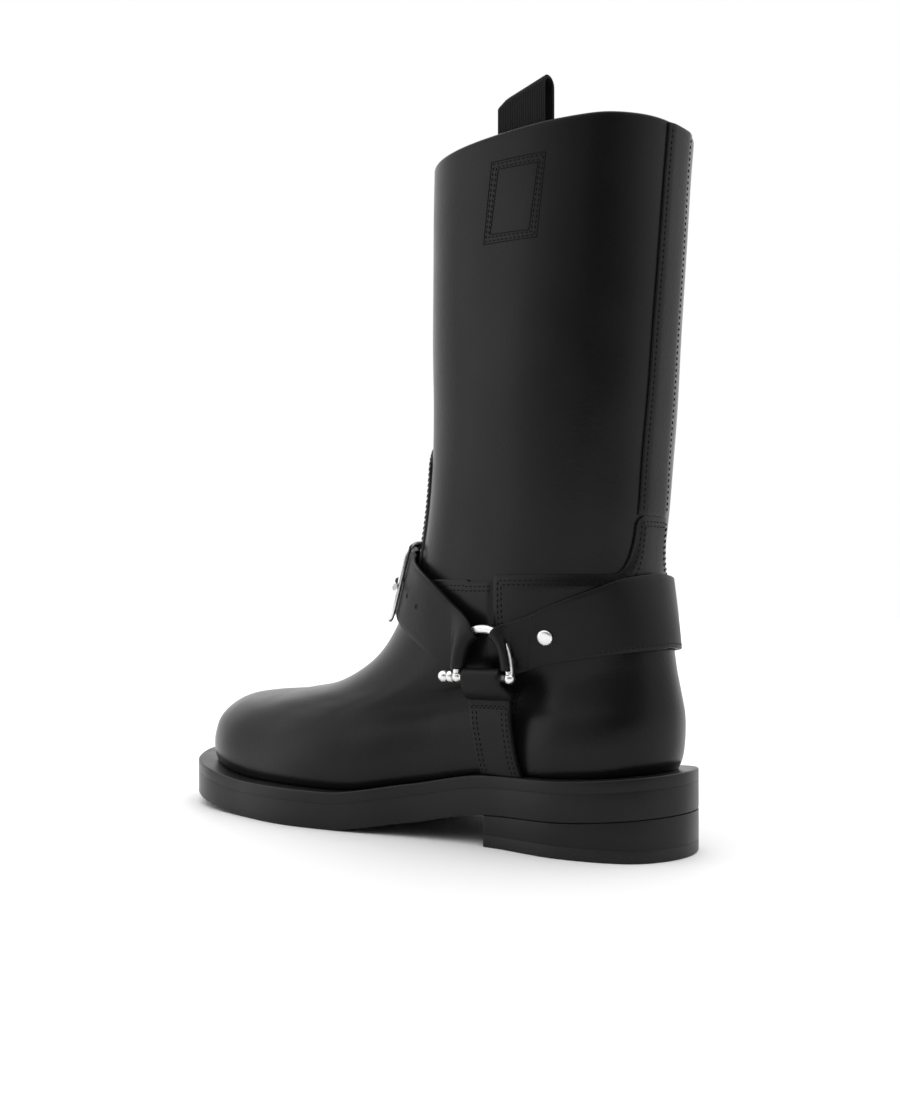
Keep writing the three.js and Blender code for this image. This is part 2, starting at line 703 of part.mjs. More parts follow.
let heelStrap = strapSolid(heelStrapRows, -heelEnd, heelEnd, 24);
let outerInstep = strapSolid(instepStrapRows, instepStart, tipBearing, 32, overBar);
const innerEnd = buckle.bearing - rearBar.ahead * perAhead;
let innerInstep = strapSolid(instepStrapRows, 1 - instepStart, innerEnd, 18);

// A rod across the strap at the buckle, of round section.
function rodAcross({ ahead, out }, radius, half) {
  const loops = [-half, 0, half].map((aside) =>
    Array.from({ length: wireSides }, (_, k) => {
      const angle = (2 * Math.PI * (k + 0.5)) / wireSides;
      return onBuckle(ahead + Math.cos(angle) * radius, aside, out + Math.sin(angle) * radius);
    }),
  );
  return toSolid(solidFromLoops(loops));
}
innerInstep = innerInstep.add(rodAcross(rearBar, buckle.eye, 0.45 / perAside));

// The strap that hangs on the shackle's pin, down to the welt
function archStrap(side, frame) {
  const pinAt = new THREE.Vector3(0, 0, 0).applyMatrix4(frame);
  const half = shackle.width / 2 - shackle.foot - wireClearance;
  const steps = 7;
  const loops = [];
  for (let i = 0; i < steps; i++) {
    const at = i / steps;
    const up = mix(weltTop(shackle.place) + 2 * weltSeat, pinAt.z, at);
    const edgeFace = (key) => {
      const along = shackle.place + between(archStrapRows, key, at) * shackle.width;
      return faceAlong(side, along, up);
    };
    const [front, back] = [edgeFace('front'), edgeFace('back')];
    const along = (alongOf(front.point) + alongOf(back.point)) / 2;
    const faces = [faceAlong(side, along, up)];
    const lift = between(archStrapRows, 'rise', at);
    const corner = (across, out) => onStrap(back, front, faces, lift, across, out);
    loops.push([corner(0, 0), corner(1, 0), corner(1, archThickness), corner(0, archThickness)]);
  }
  const onPin = (back, out) =>
    new THREE.Vector3(back * side * half, 0, (out * archThickness) / 2).applyMatrix4(frame);
  loops.push([onPin(1, -1), onPin(-1, -1), onPin(-1, 1), onPin(1, 1)]);
  const eye = alongPin(-half, half, shackle.pin + wireClearance + loopPly, frame);
  const pinBore = alongPin(-2 * half, 2 * half, shackle.pin + wireClearance, frame);
  return toSolid(solidFromLoops(loops)).add(eye).subtract(pinBore);
}

sides.forEach(({ name, side }) => {
  const frame = shackleFrame(side);
  const heelGrip = gripOn(side, backGrip);
  const instepGrip = gripOn(side, frontGrip);
  const inside = bowInside(frame);
  const wireBore = alongBow(0, 1, bore, bowSteps, frame);
  const eye = (grip) => alongBow(grip[0], grip[1], eyeRadius, 3, frame);
  const fit = (strap, grip) => strap.subtract(inside).add(eye(grip)).subtract(wireBore);
  heelStrap = fit(heelStrap, heelGrip);
  if (side > 0) outerInstep = fit(outerInstep, instepGrip);
  else innerInstep = fit(innerInstep, instepGrip);
  const half = shackle.width / 2;
  const ball = (radius, x) => {
    const sphere = new THREE.SphereGeometry(radius, 8, 5).translate(x, 0, 0);
    return toSolid(sphere.applyMatrix4(frame));
  };
  // The pin's knob points forward, and its plain end is riveted over behind.
  const ahead = -side;
  const knobAt = half + shackle.knob * 1.5;
  const span = (from, to) => (ahead < 0 ? [-to, -from] : [from, to]);
  const pin = alongPin(...span(-half, knobAt), shackle.pin, frame);
  const collar = alongPin(...span(knobAt - shackle.knob, knobAt), shackle.knob * 0.75, frame);
  const parts = [ball(shackle.foot, -half), ball(shackle.foot, half), pin, collar];
  parts.push(ball(shackle.knob * 0.8, ahead * (knobAt + shackle.knob * 0.5)));
  const bow = alongBow(0, 1, shackle.wire, bowSteps, frame);
  addMesh(`shackle_${name}`, toGeometry(parts.reduce((all, part) => all.add(part), bow)), metal);
  addMesh(`arch_strap_${name}`, toGeometry(archStrap(side, frame)), leather);
});

// Rivets on the heel strap, behind each shackle
sides.forEach(({ name, side }) => {
  const bearing = side * rivet.bearing;
  const centre = strapPoint(heelStrapRows, bearing, rivet.across, strapThickness);
  const normal = centre.clone().sub(strapPoint(heelStrapRows, bearing, rivet.across, 0)).normalize();
  const head = new THREE.SphereGeometry(rivet.radius, 12, 3, 0, 2 * Math.PI, 0, Math.PI / 2);
  const dome = head.scale(1, rivet.height / rivet.radius, 1);
  const base = new THREE.CircleGeometry(rivet.radius, 12).rotateX(Math.PI / 2);
  const turn = new THREE.Quaternion().setFromUnitVectors(new THREE.Vector3(0, 1, 0), normal);
  const set = new THREE.Matrix4().makeRotationFromQuaternion(turn);
  set.setPosition(centre.addScaledVector(normal, 2 * seam));
  const whole = mergeGeometries([dome, base].map((g) => g.toNonIndexed()));
  addMesh(`rivet_${name}`, toGeometry(toSolid(whole.applyMatrix4(set))), metal);
});

// Buckle: a frame whose rear bar the inner strap holds, and whose front bar and prong lie
// over the outer strap
const frontOut = strapThickness + 2 * seam + overBar(buckle.bearing - (buckle.length / 2) * perAhead);

function buckleFrame(grow) {
  const roundness = 0.45;
  const steps = 24;
  const round = (value) => Math.sign(value) * Math.abs(value) ** roundness;
  const loops = [];
  for (let i = 0; i < steps; i++) {
    const angle = (2 * Math.PI * i) / steps;
    const ahead = round(Math.cos(angle)) * (buckle.length / 2 + grow);
    const aside = round(Math.sin(angle)) * (buckle.width / 2 + grow);
    const forward = smoothstep(ahead / buckle.length, -0.5, 0.3);
    const low = mix(rearBar.out - buckle.thickness / 2, frontOut, forward) - grow;
    const bar = buckle.bar * mix(buckle.rearShare, 1, forward) + 2 * grow;
    const inAhead = ahead - Math.sign(ahead) * Math.min(Math.abs(ahead), bar);
    const inAside = aside - Math.sign(aside) * Math.min(Math.abs(aside), buckle.bar + 2 * grow);
    const high = low + buckle.thickness + 2 * grow;
    loops.push([
      onBuckle(inAhead, inAside, low),
      onBuckle(ahead, aside, low),
      onBuckle(ahead, aside, high),
      onBuckle(inAhead, inAside, high),
    ]);
  }
  return solidFromLoops(loops, true);
}
addMesh('buckle_frame', buckleFrame(0), metal);
innerInstep = innerInstep.subtract(toSolid(buckleFrame(wireClearance)));

// The prong comes out of the outer strap's hole and rests on the front bar.
const prongRows = [
  { at: -0.04, out: overBar(buckle.bearing) + strapThickness + seam },
  { at: 0.2, out: frontOut + buckle.thickness * 0.6 },
  { at: 0.36, out: frontOut + buckle.thickness + seam },
  { at: 0.58, out: frontOut + buckle.thickness + seam },
];
const prongLoops = prongRows.map(({ at, out }) => {
  const half = buckle.prong / 2;
  const corner = (aside, rise) => onBuckle(at * buckle.length, aside, out + rise);
  return [corner(-half, 0), corner(half, 0), corner(half, half * 1.4), corner(-half, half * 1.4)];
});
addMesh('buckle_prong', solidFromLoops(prongLoops), metal);

addMesh('heel_strap', toGeometry(heelStrap), leather);
addMesh('instep_strap_outer', toGeometry(outerInstep), leather);
addMesh('instep_strap_inner', toGeometry(innerInstep), leather);

// Pull loop of folded webbing, sewn inside the collar and rising above it
function pullLoopSolid() {
  const { ply, gap, hem, rise, depth, width, place: along } = pullLoop;
  const rim = faceAlong(1, along, upAt(1) - 2 * ply);
  const out = new THREE.Vector3(rim.normal.x, rim.normal.y, 0).normalize();
  // How far out the wall's inner face lies at each corner of the tape
  const corners = [-1, 1].flatMap((end) => [ply, depth].map((below) => {
    const face = faceAlong(1, along + (end * width) / 2, upAt(1) - below);
    return face.point.addScaledVector(face.normal, -upperWall - seam).dot(out);
  }));
  const upward = new THREE.Vector3(0, 0, 1);
  const crown = gap / 2 + ply;
  const shape = new THREE.Shape();
  shape.moveTo(0, -depth);
  shape.lineTo(0, rise - crown);
  shape.absarc(-crown, rise - crown, crown, 0, Math.PI, false);
  shape.lineTo(-2 * crown, hem);
  shape.lineTo(-hem, -hem);
  shape.lineTo(-hem, -depth);
  const hole = new THREE.Path();
  hole.moveTo(-ply, hem);
  hole.lineTo(-ply, rise - crown);
  hole.absarc(-crown, rise - crown, gap / 2, 0, Math.PI, false);
  hole.lineTo(-2 * crown + ply, hem);
  hole.lineTo(-ply - seam, 0);
  shape.holes.push(hole);
  const options = { depth: width, bevelEnabled: false, curveSegments: 8 };
  const solid = new THREE.ExtrudeGeometry(shape, options).translate(0, 0, -width / 2);
  const basis = new THREE.Matrix4().makeBasis(out, upward, out.clone().cross(upward));
  const inset = rim.point.dot(out) - Math.min(...corners);
  basis.setPosition(rim.point.addScaledVector(out, -inset));
  basis.elements[14] = upAt(1);
  return solid.applyMatrix4(basis);
}
addMesh('pull_loop', toGeometry(toSolid(pullLoopSolid())), webbing);

export default group;
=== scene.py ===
# %% [markdown]
# # A tall harness boot in Blender
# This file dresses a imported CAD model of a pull-on leather boot. The CAD model gives every piece
# its place and size. Here each piece is worked out again as a smooth surface with numpy, given
# its seams and stitches, and finished with a procedural material.

# %% Load the fixed frame
import math

import bmesh
import bpy
import numpy as np
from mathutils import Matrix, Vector


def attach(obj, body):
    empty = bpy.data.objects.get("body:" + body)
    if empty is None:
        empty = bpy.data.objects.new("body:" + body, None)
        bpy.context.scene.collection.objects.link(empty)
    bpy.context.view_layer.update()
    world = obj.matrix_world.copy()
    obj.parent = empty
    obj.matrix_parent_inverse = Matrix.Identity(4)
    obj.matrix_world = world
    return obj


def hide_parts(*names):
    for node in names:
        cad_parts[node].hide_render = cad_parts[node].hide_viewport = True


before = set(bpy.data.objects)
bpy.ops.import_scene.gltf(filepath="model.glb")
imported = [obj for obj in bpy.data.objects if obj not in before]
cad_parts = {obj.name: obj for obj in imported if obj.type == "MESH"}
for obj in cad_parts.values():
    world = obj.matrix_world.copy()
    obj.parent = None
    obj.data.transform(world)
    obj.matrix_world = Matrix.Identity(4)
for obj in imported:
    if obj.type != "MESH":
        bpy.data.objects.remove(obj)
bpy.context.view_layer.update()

print("CAD nodes:", len(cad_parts))

# %% [markdown]
# ## From formula to mesh
# A surface is an array of points, rows by columns. These helpers join neighbouring points into
# quads, merge what touches, turn the faces outwards and mark the sharp edges. Sizes are in
# millimetres up to here, and a mesh is stored in metres.

# %% Mesh helpers
MM = 0.001


def grid_quads(rows, columns, wrap_rows=False, wrap_columns=False, first=0):
    """Corner numbers of the quads between the points of a grid, numbered row by row."""
    r = np.arange(rows if wrap_rows else rows - 1)[:, None]
    c = np.arange(columns if wrap_columns else columns - 1)[None, :]
    r2, c2 = (r + 1) % rows, (c + 1) % columns
    quads = np.stack([r * columns + c, r * columns + c2, r2 * columns + c2, r2 * columns + c], -1)
    return quads.reshape(-1, 4) + first


def make_piece(name, points, faces, material, replaces=(), sharp=35.0):
    """Builds a piece from points in millimetres and rings of corner numbers, faces outwards."""
    mesh = bpy.data.meshes.new(name)
    mesh.from_pydata((np.asarray(points, float).reshape(-1, 3) * MM).tolist(), [], faces)
    work = bmesh.new()
    work.from_mesh(mesh)
    bmesh.ops.remove_doubles(work, verts=work.verts, dist=1e-6)
    bmesh.ops.dissolve_degenerate(work, edges=work.edges, dist=1e-7)
    bmesh.ops.recalc_face_normals(work, faces=work.faces)
    work.to_mesh(mesh)
    work.free()
    mesh.shade_smooth()
    mesh.set_sharp_from_angle(angle=math.radians(sharp))
    piece = bpy.data.objects.new(name, mesh)
    bpy.context.scene.collection.objects.link(piece)
    for finish in material if isinstance(material, (list, tuple)) else [material]:
        mesh.materials.append(finish)
    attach(piece, "root")
    if replaces:
        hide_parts(*replaces)
    print(f"{name}: {len(mesh.polygons)} faces")
    return piece


def tube_faces(loops, points):
    """Faces of a stack of closed loops, with a face over each end."""
    faces = grid_quads(loops, points, wrap_columns=True).tolist()
    faces.append(list(range(points))[::-1])
    faces.append(list(range((loops - 1) * points, loops * points)))
    return faces


def unit(vectors):
    """Each vector divided by its own length."""
    return vectors / np.maximum(np.linalg.norm(vectors, axis=-1, keepdims=True), 1e-9)


def mix(a, b, share):
    """A value that runs in a straight line from a to b as share runs from 0 to 1."""
    return a + (b - a) * share


def ease(x, low, high):
    """0 below low, 1 above high, and a smooth s-curve between: 3q squared less 2q cubed."""
    q = np.clip((x - low) / (high - low), 0, 1)
    return q * q * (3 - 2 * q)


# %% [markdown]
# ## The last
# Everything on a boot is built round the last, a solid foot and leg. Its outline and its sections
# are short tables of shares of the boot's own sizes, the same that the CAD model uses. A smooth
# curve through the rows of a table turns them into a surface of two parameters: around, which
# runs from the back seam by the outer side, and row, which runs from the welt to the collar.

# %% Sizes and tables
SOLE_LENGTH, BALL_WIDTH, SOLE_THICKNESS = 300.0, 110.0, 17.8
WELT_THICKNESS, TOP_LIFT, HEEL_LENGTH, HEEL_RISE = 5.5, 5.5, 79.5, 18.6
UPPER_HEIGHT, UPPER_WALL, COVER_WALL, STAY_WALL = 273.5, 2.2, 1.7, 1.2
SEAM, WELT_SEAT, STRAP_CLEARANCE, WIRE_CLEARANCE = 0.3, 0.5, 0.8, 0.3
SIDE_SEAM, VAMP_EDGE, COUNTER_EDGE, ANKLE_AXIS = 72.0, 80.8, 83.4, 0.317
VAMP_TONGUE = {"width": 50, "top": 146, "corner": 12, "sweep": 26, "fillet": 6}
COUNTER_TONGUE = {"width": 24, "top": 108.5, "corner": 5, "sweep": 9, "fillet": 20}
BACK_STAY = {"foot": 22.5, "top": 20, "drift": 2.8}

# how far along the sole, then the half widths to the outer and inner side
OUTLINE = np.array([
    [0.03, 0.225, 0.225], [0.13, 0.344, 0.344], [0.25, 0.346, 0.33],
    [0.38, 0.402, 0.312], [0.52, 0.502, 0.355], [0.63, 0.553, 0.42],
    [0.74, 0.53, 0.447], [0.86, 0.47, 0.4], [0.945, 0.315, 0.26],
])
TOE_CENTRE = 0.045

# how far along the sole, then the height of its underside as a share of the heel's rise
LIFT = np.array([
    [0, 1], [0.13, 0.81], [0.265, 0.74], [0.4, 0.36], [0.55, 0], [0.64, 0], [0.73, 0],
    [0.86, 0.19], [1, 0.4],
])

# back, front, outer, inner, back height, front height, oval, follow, droop
SECTIONS = np.array([
    [0.034, 0.958, 0.455, 0.347, 0, 0, 0, 1, 0],
    [0.0275, 0.962, 0.471, 0.363, 0.0188, 0.0173, 0, 1, 0],
    [0.024, 0.961, 0.474, 0.367, 0.0479, 0.0463, 0, 1, 0],
    [0.0235, 0.947, 0.457, 0.358, 0.084, 0.0786, 0, 0.9, 0.009],
    [0.0275, 0.904, 0.417, 0.327, 0.1169, 0.102, 0, 0.75, 0.016],
    [0.034, 0.838, 0.386, 0.305, 0.1533, 0.111, 0.1, 0.6, 0.023],
    [0.04, 0.745, 0.368, 0.305, 0.1869, 0.1135, 0.3, 0.4, 0.03],
    [0.047, 0.648, 0.36, 0.315, 0.2192, 0.1205, 0.6, 0.2, 0.034],
    [0.056, 0.562, 0.355, 0.32, 0.2545, 0.1516, 0.85, 0, 0.034],
    [0.06, 0.508, 0.353, 0.33, 0.2953, 0.2102, 1, 0, 0.03],
    [0.058, 0.47, 0.355, 0.345, 0.343, 0.2908, 1, 0, 0.023],
    [0.052, 0.445, 0.362, 0.357, 0.4088, 0.3793, 1, 0, 0.014],
    [0.047, 0.431, 0.37, 0.37, 0.4893, 0.478, 1, 0, 0.007],
    [0.04, 0.426, 0.378, 0.378, 0.5813, 0.5813, 1, 0, 0],
    [0.034, 0.427, 0.383, 0.383, 0.6913, 0.6913, 1, 0, 0],
    [0.027, 0.426, 0.387, 0.387, 0.8014, 0.8014, 1, 0, 0],
    [0.02, 0.425, 0.391, 0.391, 0.9115, 0.9115, 1, 0, 0],
    [0.014, 0.422, 0.392, 0.392, 1, 0.996, 1, 0, 0],
])
LEG_SQUARENESS = 2.5
TOP_ROW = len(SECTIONS) - 1
print("sections of the last:", len(SECTIONS))


# %% Curves through tables
def monotone(xs, ys, x):
    """A cubic through the rows that never overshoots: each inner slope is the harmonic mean of
    the two slopes beside it, and 0 where they turn."""
    h = np.diff(xs)
    slope = np.diff(ys) / h
    inner = slope[:-1] * slope[1:]
    total = slope[:-1] + slope[1:]
    middle = np.where(inner > 0, 2 * inner / np.where(total == 0, 1, total), 0)
    tangent = np.concatenate([slope[:1], middle, slope[-1:]])
    x = np.clip(x, xs[0], xs[-1])
    i = np.clip(np.searchsorted(xs, x, "right") - 1, 0, len(xs) - 2)
    q = (x - xs[i]) / h[i]
    start = ys[i] * (1 + 2 * q) * (1 - q) ** 2 + tangent[i] * h[i] * q * (1 - q) ** 2
    return start + ys[i + 1] * q * q * (3 - 2 * q) - tangent[i + 1] * h[i] * q * q * (1 - q)


def closed_curve(points, count):
    """A closed centripetal Catmull-Rom curve: a cubic between two points whose end slopes come
    from the points beside them, each span timed by the square root of its length."""
    n = len(points)
    at = np.arange(count) * n / count
    i = at.astype(int)
    q = (at - i)[:, None]
    p = [points[(i + k) % n] for k in (-1, 0, 1, 2)]
    d = [np.sqrt(np.linalg.norm(b - a, axis=1))[:, None] for a, b in zip(p[:-1], p[1:])]
    near = ((p[1] - p[0]) / d[0] - (p[2] - p[0]) / (d[0] + d[1]) + (p[2] - p[1]) / d[1]) * d[1]
    far = ((p[2] - p[1]) / d[1] - (p[3] - p[1]) / (d[1] + d[2]) + (p[3] - p[2]) / d[2]) * d[1]
    bend = 2 * p[1] - 2 * p[2] + near + far
    curve = -3 * p[1] + 3 * p[2] - 2 * near - far
    return p[1] + near * q + curve * q**2 + bend * q**3


def underside(along):
    """Height of the outsole's underside at a place along the sole."""
    return monotone(LIFT[:, 0], LIFT[:, 1], along / SOLE_LENGTH) * HEEL_RISE


def welt_top(along):
    """Height of the welt's top at a place along the sole."""
    return underside(along) + SOLE_THICKNESS


HEEL_SEAT = float(welt_top(0.0))


def sole_outline(inset, count=960):
    """The sole's outline moved inwards by inset, at right angles to the line."""
    outer = np.stack([OUTLINE[:, 0] * SOLE_LENGTH, OUTLINE[:, 1] * BALL_WIDTH], 1)
    inner = np.stack([OUTLINE[:, 0] * SOLE_LENGTH, -OUTLINE[:, 2] * BALL_WIDTH], 1)[::-1]
    toe = [[SOLE_LENGTH, TOE_CENTRE * BALL_WIDTH]]
    line = closed_curve(np.vstack([[[0.0, 0.0]], outer, toe, inner]), count)
    heading = unit(np.roll(line, -1, 0) - np.roll(line, 1, 0))
    return line + inset * np.stack([heading[:, 1], -heading[:, 0]], 1)


def reach(line, along):
    """How far a closed outline reaches to its outer and its inner side at a place along it."""
    back, toe = np.argmin(line[:, 0]), np.argmax(line[:, 0])
    turned = np.roll(line, -back, 0)
    split = (toe - back) % len(line)
    outer, inner = turned[: split + 1], np.vstack([turned[split:], turned[:1]])[::-1]
    return np.interp(along, outer[:, 0], outer[:, 1]), np.interp(along, inner[:, 0], inner[:, 1])


EDGE_LINE = sole_outline(0, 480)
EDGE_LOW, EDGE_HIGH = EDGE_LINE.min(0), EDGE_LINE.max(0)
MIDDLE = (EDGE_LOW + EDGE_HIGH) / 2


def place(along, across, up):
    """From the last's own measures to the boot's frame: the toe points to -Y, outer is +X."""
    return np.stack(np.broadcast_arrays(across - MIDDLE[1], MIDDLE[0] - along, up), -1)


def along_of(points):
    """How far along the sole a point of the boot's frame lies."""
    return MIDDLE[0] - points[..., 1]


print("sole outline:", np.round(EDGE_HIGH - EDGE_LOW, 1), "mm")


# %% The last's surface
def sections_at(row):
    """The sections' values at any row, by a smooth curve through the rows of the table."""
    row = np.asarray(row, float)
    i = np.clip(np.floor(row).astype(int), 0, TOP_ROW - 1)
    q = (row - i)[..., None]
    a, b, c, d = (SECTIONS[np.clip(i + k, 0, TOP_ROW)] for k in (-1, 0, 1, 2))
    bend = -a + 3 * b - 3 * c + d
    curve = 2 * a - 5 * b + 4 * c - d
    return b + 0.5 * q * (c - a + q * (curve + q * bend))


def last_face(around, row):
    """A point of the upper's outer face: the section's length runs with half of one less the
    cosine of the turn, its half width is the sole's outline for a foot and a squared oval for a
    leg, and its height runs from back to front less a droop with the square of the sine."""
    around, row = np.broadcast_arrays(np.asarray(around, float), np.asarray(row, float))
    back, front, outer, inner, back_up, front_up, oval, follow, droop = np.moveaxis(
        sections_at(row), -1, 0)
    turn = 2 * np.pi * around
    t, side = (1 - np.cos(turn)) / 2, np.sin(turn)
    along = mix(back, front, t) * SOLE_LENGTH
    sole_outer, sole_inner = reach(EDGE_LINE, mix(EDGE_LOW[0], EDGE_HIGH[0], t))
    foot_outer = sole_outer / EDGE_HIGH[1] * outer * BALL_WIDTH
    foot_inner = sole_inner / -EDGE_LOW[1] * inner * BALL_WIDTH
    leg = (1 - np.abs(2 * t - 1) ** LEG_SQUARENESS) ** (1 / LEG_SQUARENESS) * BALL_WIDTH
    end = np.abs(side) < 1e-9
    foot = np.where(end, (foot_outer + foot_inner) / 2, np.where(side > 0, foot_outer, foot_inner))
    legs = np.where(end, 0, np.where(side > 0, leg * outer, -leg * inner))
    level = mix(back_up, front_up, t) - droop * side**2
    up = HEEL_SEAT + WELT_SEAT + level * UPPER_HEIGHT + follow * (welt_top(along) - HEEL_SEAT)
    return place(along, mix(foot, legs, oval), up)


def last_normal(around, row):
    """The outward direction: the cross product of a small step up and a small step round, kept
    level where the upper tucks in under at the welt and at the collar."""
    up = last_face(around, np.minimum(row + 0.02, TOP_ROW)) - last_face(
        around, np.maximum(row - 0.02, 0))
    step = last_face(np.asarray(around) + 2e-3, row) - last_face(np.asarray(around) - 2e-3, row)
    normal = unit(np.cross(up, step))
    normal[..., 2] *= ease(row, 0, 1.5) * ease(TOP_ROW - row, 0, 0.5)
    return unit(normal)


def off_last(around, row, offset):
    """A point that stands off the upper's face by an offset."""
    around, row = np.broadcast_arrays(np.asarray(around, float), np.asarray(row, float))
    return last_face(around, row) + last_normal(around, row) * np.asarray(offset)[..., None]


# a fine table of the face, which makes searches over it quick
LOOK_A, LOOK_R = 720, 340
LOOK = last_face(np.arange(LOOK_A + 1)[:, None] / LOOK_A,
                 np.arange(LOOK_R + 1)[None, :] * TOP_ROW / LOOK_R)


def near_face(around, row):
    """The same face read from the table, in straight lines between its points."""
    a = (np.asarray(around) % 1.0) * LOOK_A
    r = np.clip(row, 0, TOP_ROW) / TOP_ROW * LOOK_R
    i = np.minimum(a.astype(int), LOOK_A - 1)
    j = np.minimum(r.astype(int), LOOK_R - 1)
    p, q = (a - i)[..., None], (r - j)[..., None]
    low = mix(LOOK[i, j], LOOK[i + 1, j], p)
    return mix(low, mix(LOOK[i, j + 1], LOOK[i + 1, j + 1], p), q)


def row_at(around, up):
    """The row at which one line up the side reaches a height, found by halving."""
    around, up = np.broadcast_arrays(np.asarray(around, float), np.asarray(up, float))
    low, high = np.zeros(up.shape), np.full(up.shape, float(TOP_ROW))
    for _ in range(20):
        half = (low + high) / 2
        below = near_face(around, half)[..., 2] < up
        low, high = np.where(below, half, low), np.where(below, high, half)
    return (low + high) / 2


def around_at(side, up, measure, value, near=0.0, far=0.5):
    """The turn, on one side and at one height, where a growing measure passes a value."""
    side, up, value = np.broadcast_arrays(side, np.asarray(up, float), np.asarray(value, float))
    near, far = np.full(up.shape, near), np.full(up.shape, far)
    for _ in range(18):
        half = (near + far) / 2
        around = np.where(side > 0, half, 1 - half)
        small = measure(near_face(around, row_at(around, up))) < value
        near, far = np.where(small, half, near), np.where(small, far, half)
    half = (near + far) / 2
    return np.where(side > 0, half, 1 - half)


def bearing_of(points):
    """A point's bearing about the ankle's axis, as a share of a turn from the back."""
    ahead = along_of(points) - ANKLE_AXIS * SOLE_LENGTH
    return np.arctan2(np.abs(points[..., 0] + MIDDLE[1]), -ahead) / (2 * np.pi)


def face_along(side, along, up):
    """The last's face and its normal at a place along the sole and a height."""
    around = around_at(side, up, along_of, along)
    row = row_at(around, up)
    return last_face(around, row), last_normal(around, row)


def face_bearing(bearing, up):
    """The last's face and its normal at a bearing from the ankle's axis and a height."""
    bearing = np.asarray(bearing, float)
    side = np.where((bearing > 0.5) | (bearing < 0), -1, 1)
    turn = np.abs(np.where(bearing > 0.5, 1 - bearing, bearing))
    around = around_at(side, up, bearing_of, turn)
    row = row_at(around, up)
    return last_face(around, row), last_normal(around, row)


print("the last reaches", np.round(LOOK[..., 2].max(), 1), "mm up")

# %% [markdown]
# ## Materials
# Black leather is nearly all reflection: a dark base under a thin waxy coat, broken up by a fine
# grain of small cells and a few soft wrinkles. The grain is one node group, used by every leather
# finish with its own values, so that the covers, the straps and the lining look cut from related
# hides.


# %% Node helpers
def new_group(name, inputs, outputs):
    """A shader node group with named sockets; inputs are (name, type, default)."""
    group = bpy.data.node_groups.new(name, "ShaderNodeTree")
    for label, kind, value in inputs:
        socket = group.interface.new_socket(label, in_out="INPUT", socket_type=kind)
        if value is not None:
            socket.default_value = value
    for label, kind in outputs:
        group.interface.new_socket(label, in_out="OUTPUT", socket_type=kind)
    start = group.nodes.new("NodeGroupInput")
    end = group.nodes.new("NodeGroupOutput")
    return group, start, end


def add(tree, kind, settings=(), **values):
    """Adds a node, sets its options and its sockets' values, and joins sockets given to it."""
    node = tree.nodes.new(kind)
    for key, value in dict(settings).items():
        setattr(node, key, value)
    for key, value in values.items():
        name = key.replace("_", " ")
        socket = node.inputs[int(key[1:])] if key[1:].isdigit() else node.inputs[name]
        if isinstance(value, bpy.types.NodeSocket):
            tree.links.new(value, socket)
        else:
            socket.default_value = value
    return node


def math_node(tree, operation, a, b=0.0):
    """One sum of two values."""
    return add(tree, "ShaderNodeMath", {"operation": operation}, i0=a, i1=b).outputs[0]


def new_material(name):
    """An empty node material and its Principled shader."""
    material = bpy.data.materials.new(name)
    material.use_nodes = True
    tree = material.node_tree
    return material, tree, tree.nodes["Principled BSDF"]


def set_values(shader, **values):
    """Sets constant values straight on the shader's own sockets."""
    for key, value in values.items():
        shader.inputs[key.replace("_", " ")].default_value = value


# %% Leather grain group
def build_grain():
    """Height is small cells plus finer noise plus slow waves; Tone and Sheen vary slowly."""
    group, start, end = new_group(
        "leather_grain",
        [("Vector", "NodeSocketVector", None), ("Cell", "NodeSocketFloat", 900.0),
         ("Wave", "NodeSocketFloat", 40.0), ("Wave Depth", "NodeSocketFloat", 0.6)],
        [("Height", "NodeSocketFloat"), ("Tone", "NodeSocketFloat"), ("Sheen", "NodeSocketFloat")])
    vector = start.outputs["Vector"]
    cells = add(group, "ShaderNodeTexVoronoi", {"feature": "SMOOTH_F1"}, Vector=vector,
                Scale=start.outputs["Cell"], Smoothness=0.6)
    fine = add(group, "ShaderNodeTexNoise", Vector=vector, Scale=2600.0, Detail=2.0)
    slow = add(group, "ShaderNodeTexNoise", Vector=vector, Scale=start.outputs["Wave"],
               Detail=3.0, Roughness=0.45)
    wave = math_node(group, "MULTIPLY", slow.outputs[0], start.outputs["Wave Depth"])
    grain = math_node(group, "ADD", math_node(group, "MULTIPLY", cells.outputs[0], 0.10),
                      math_node(group, "MULTIPLY", fine.outputs[0], 0.05))
    height = math_node(group, "ADD", grain, wave)
    patches = add(group, "ShaderNodeTexNoise", Vector=vector, Scale=18.0, Detail=4.0)
    group.links.new(height, end.inputs["Height"])
    group.links.new(patches.outputs[0], end.inputs["Tone"])
    group.links.new(slow.outputs[0], end.inputs["Sheen"])
    return group


GRAIN = build_grain()
print("node group:", GRAIN.name)


# %% Leather finishes
def ramp(tree, value, low, high, at=(0.3, 0.7)):
    """A colour that runs from low to high as a value runs between two stops."""
    node = add(tree, "ShaderNodeValToRGB", i0=value)
    for element, place_at, colour in zip(node.color_ramp.elements, at, (low, high)):
        element.position, element.color = place_at, (*colour, 1)
    return node.outputs[0]


def rough_from(tree, value, low, high):
    """A roughness that runs from low to high with a value from 0.3 to 0.7."""
    node = add(tree, "ShaderNodeMapRange", i0=value, i1=0.3, i2=0.7, i3=low, i4=high)
    return node.outputs[0]


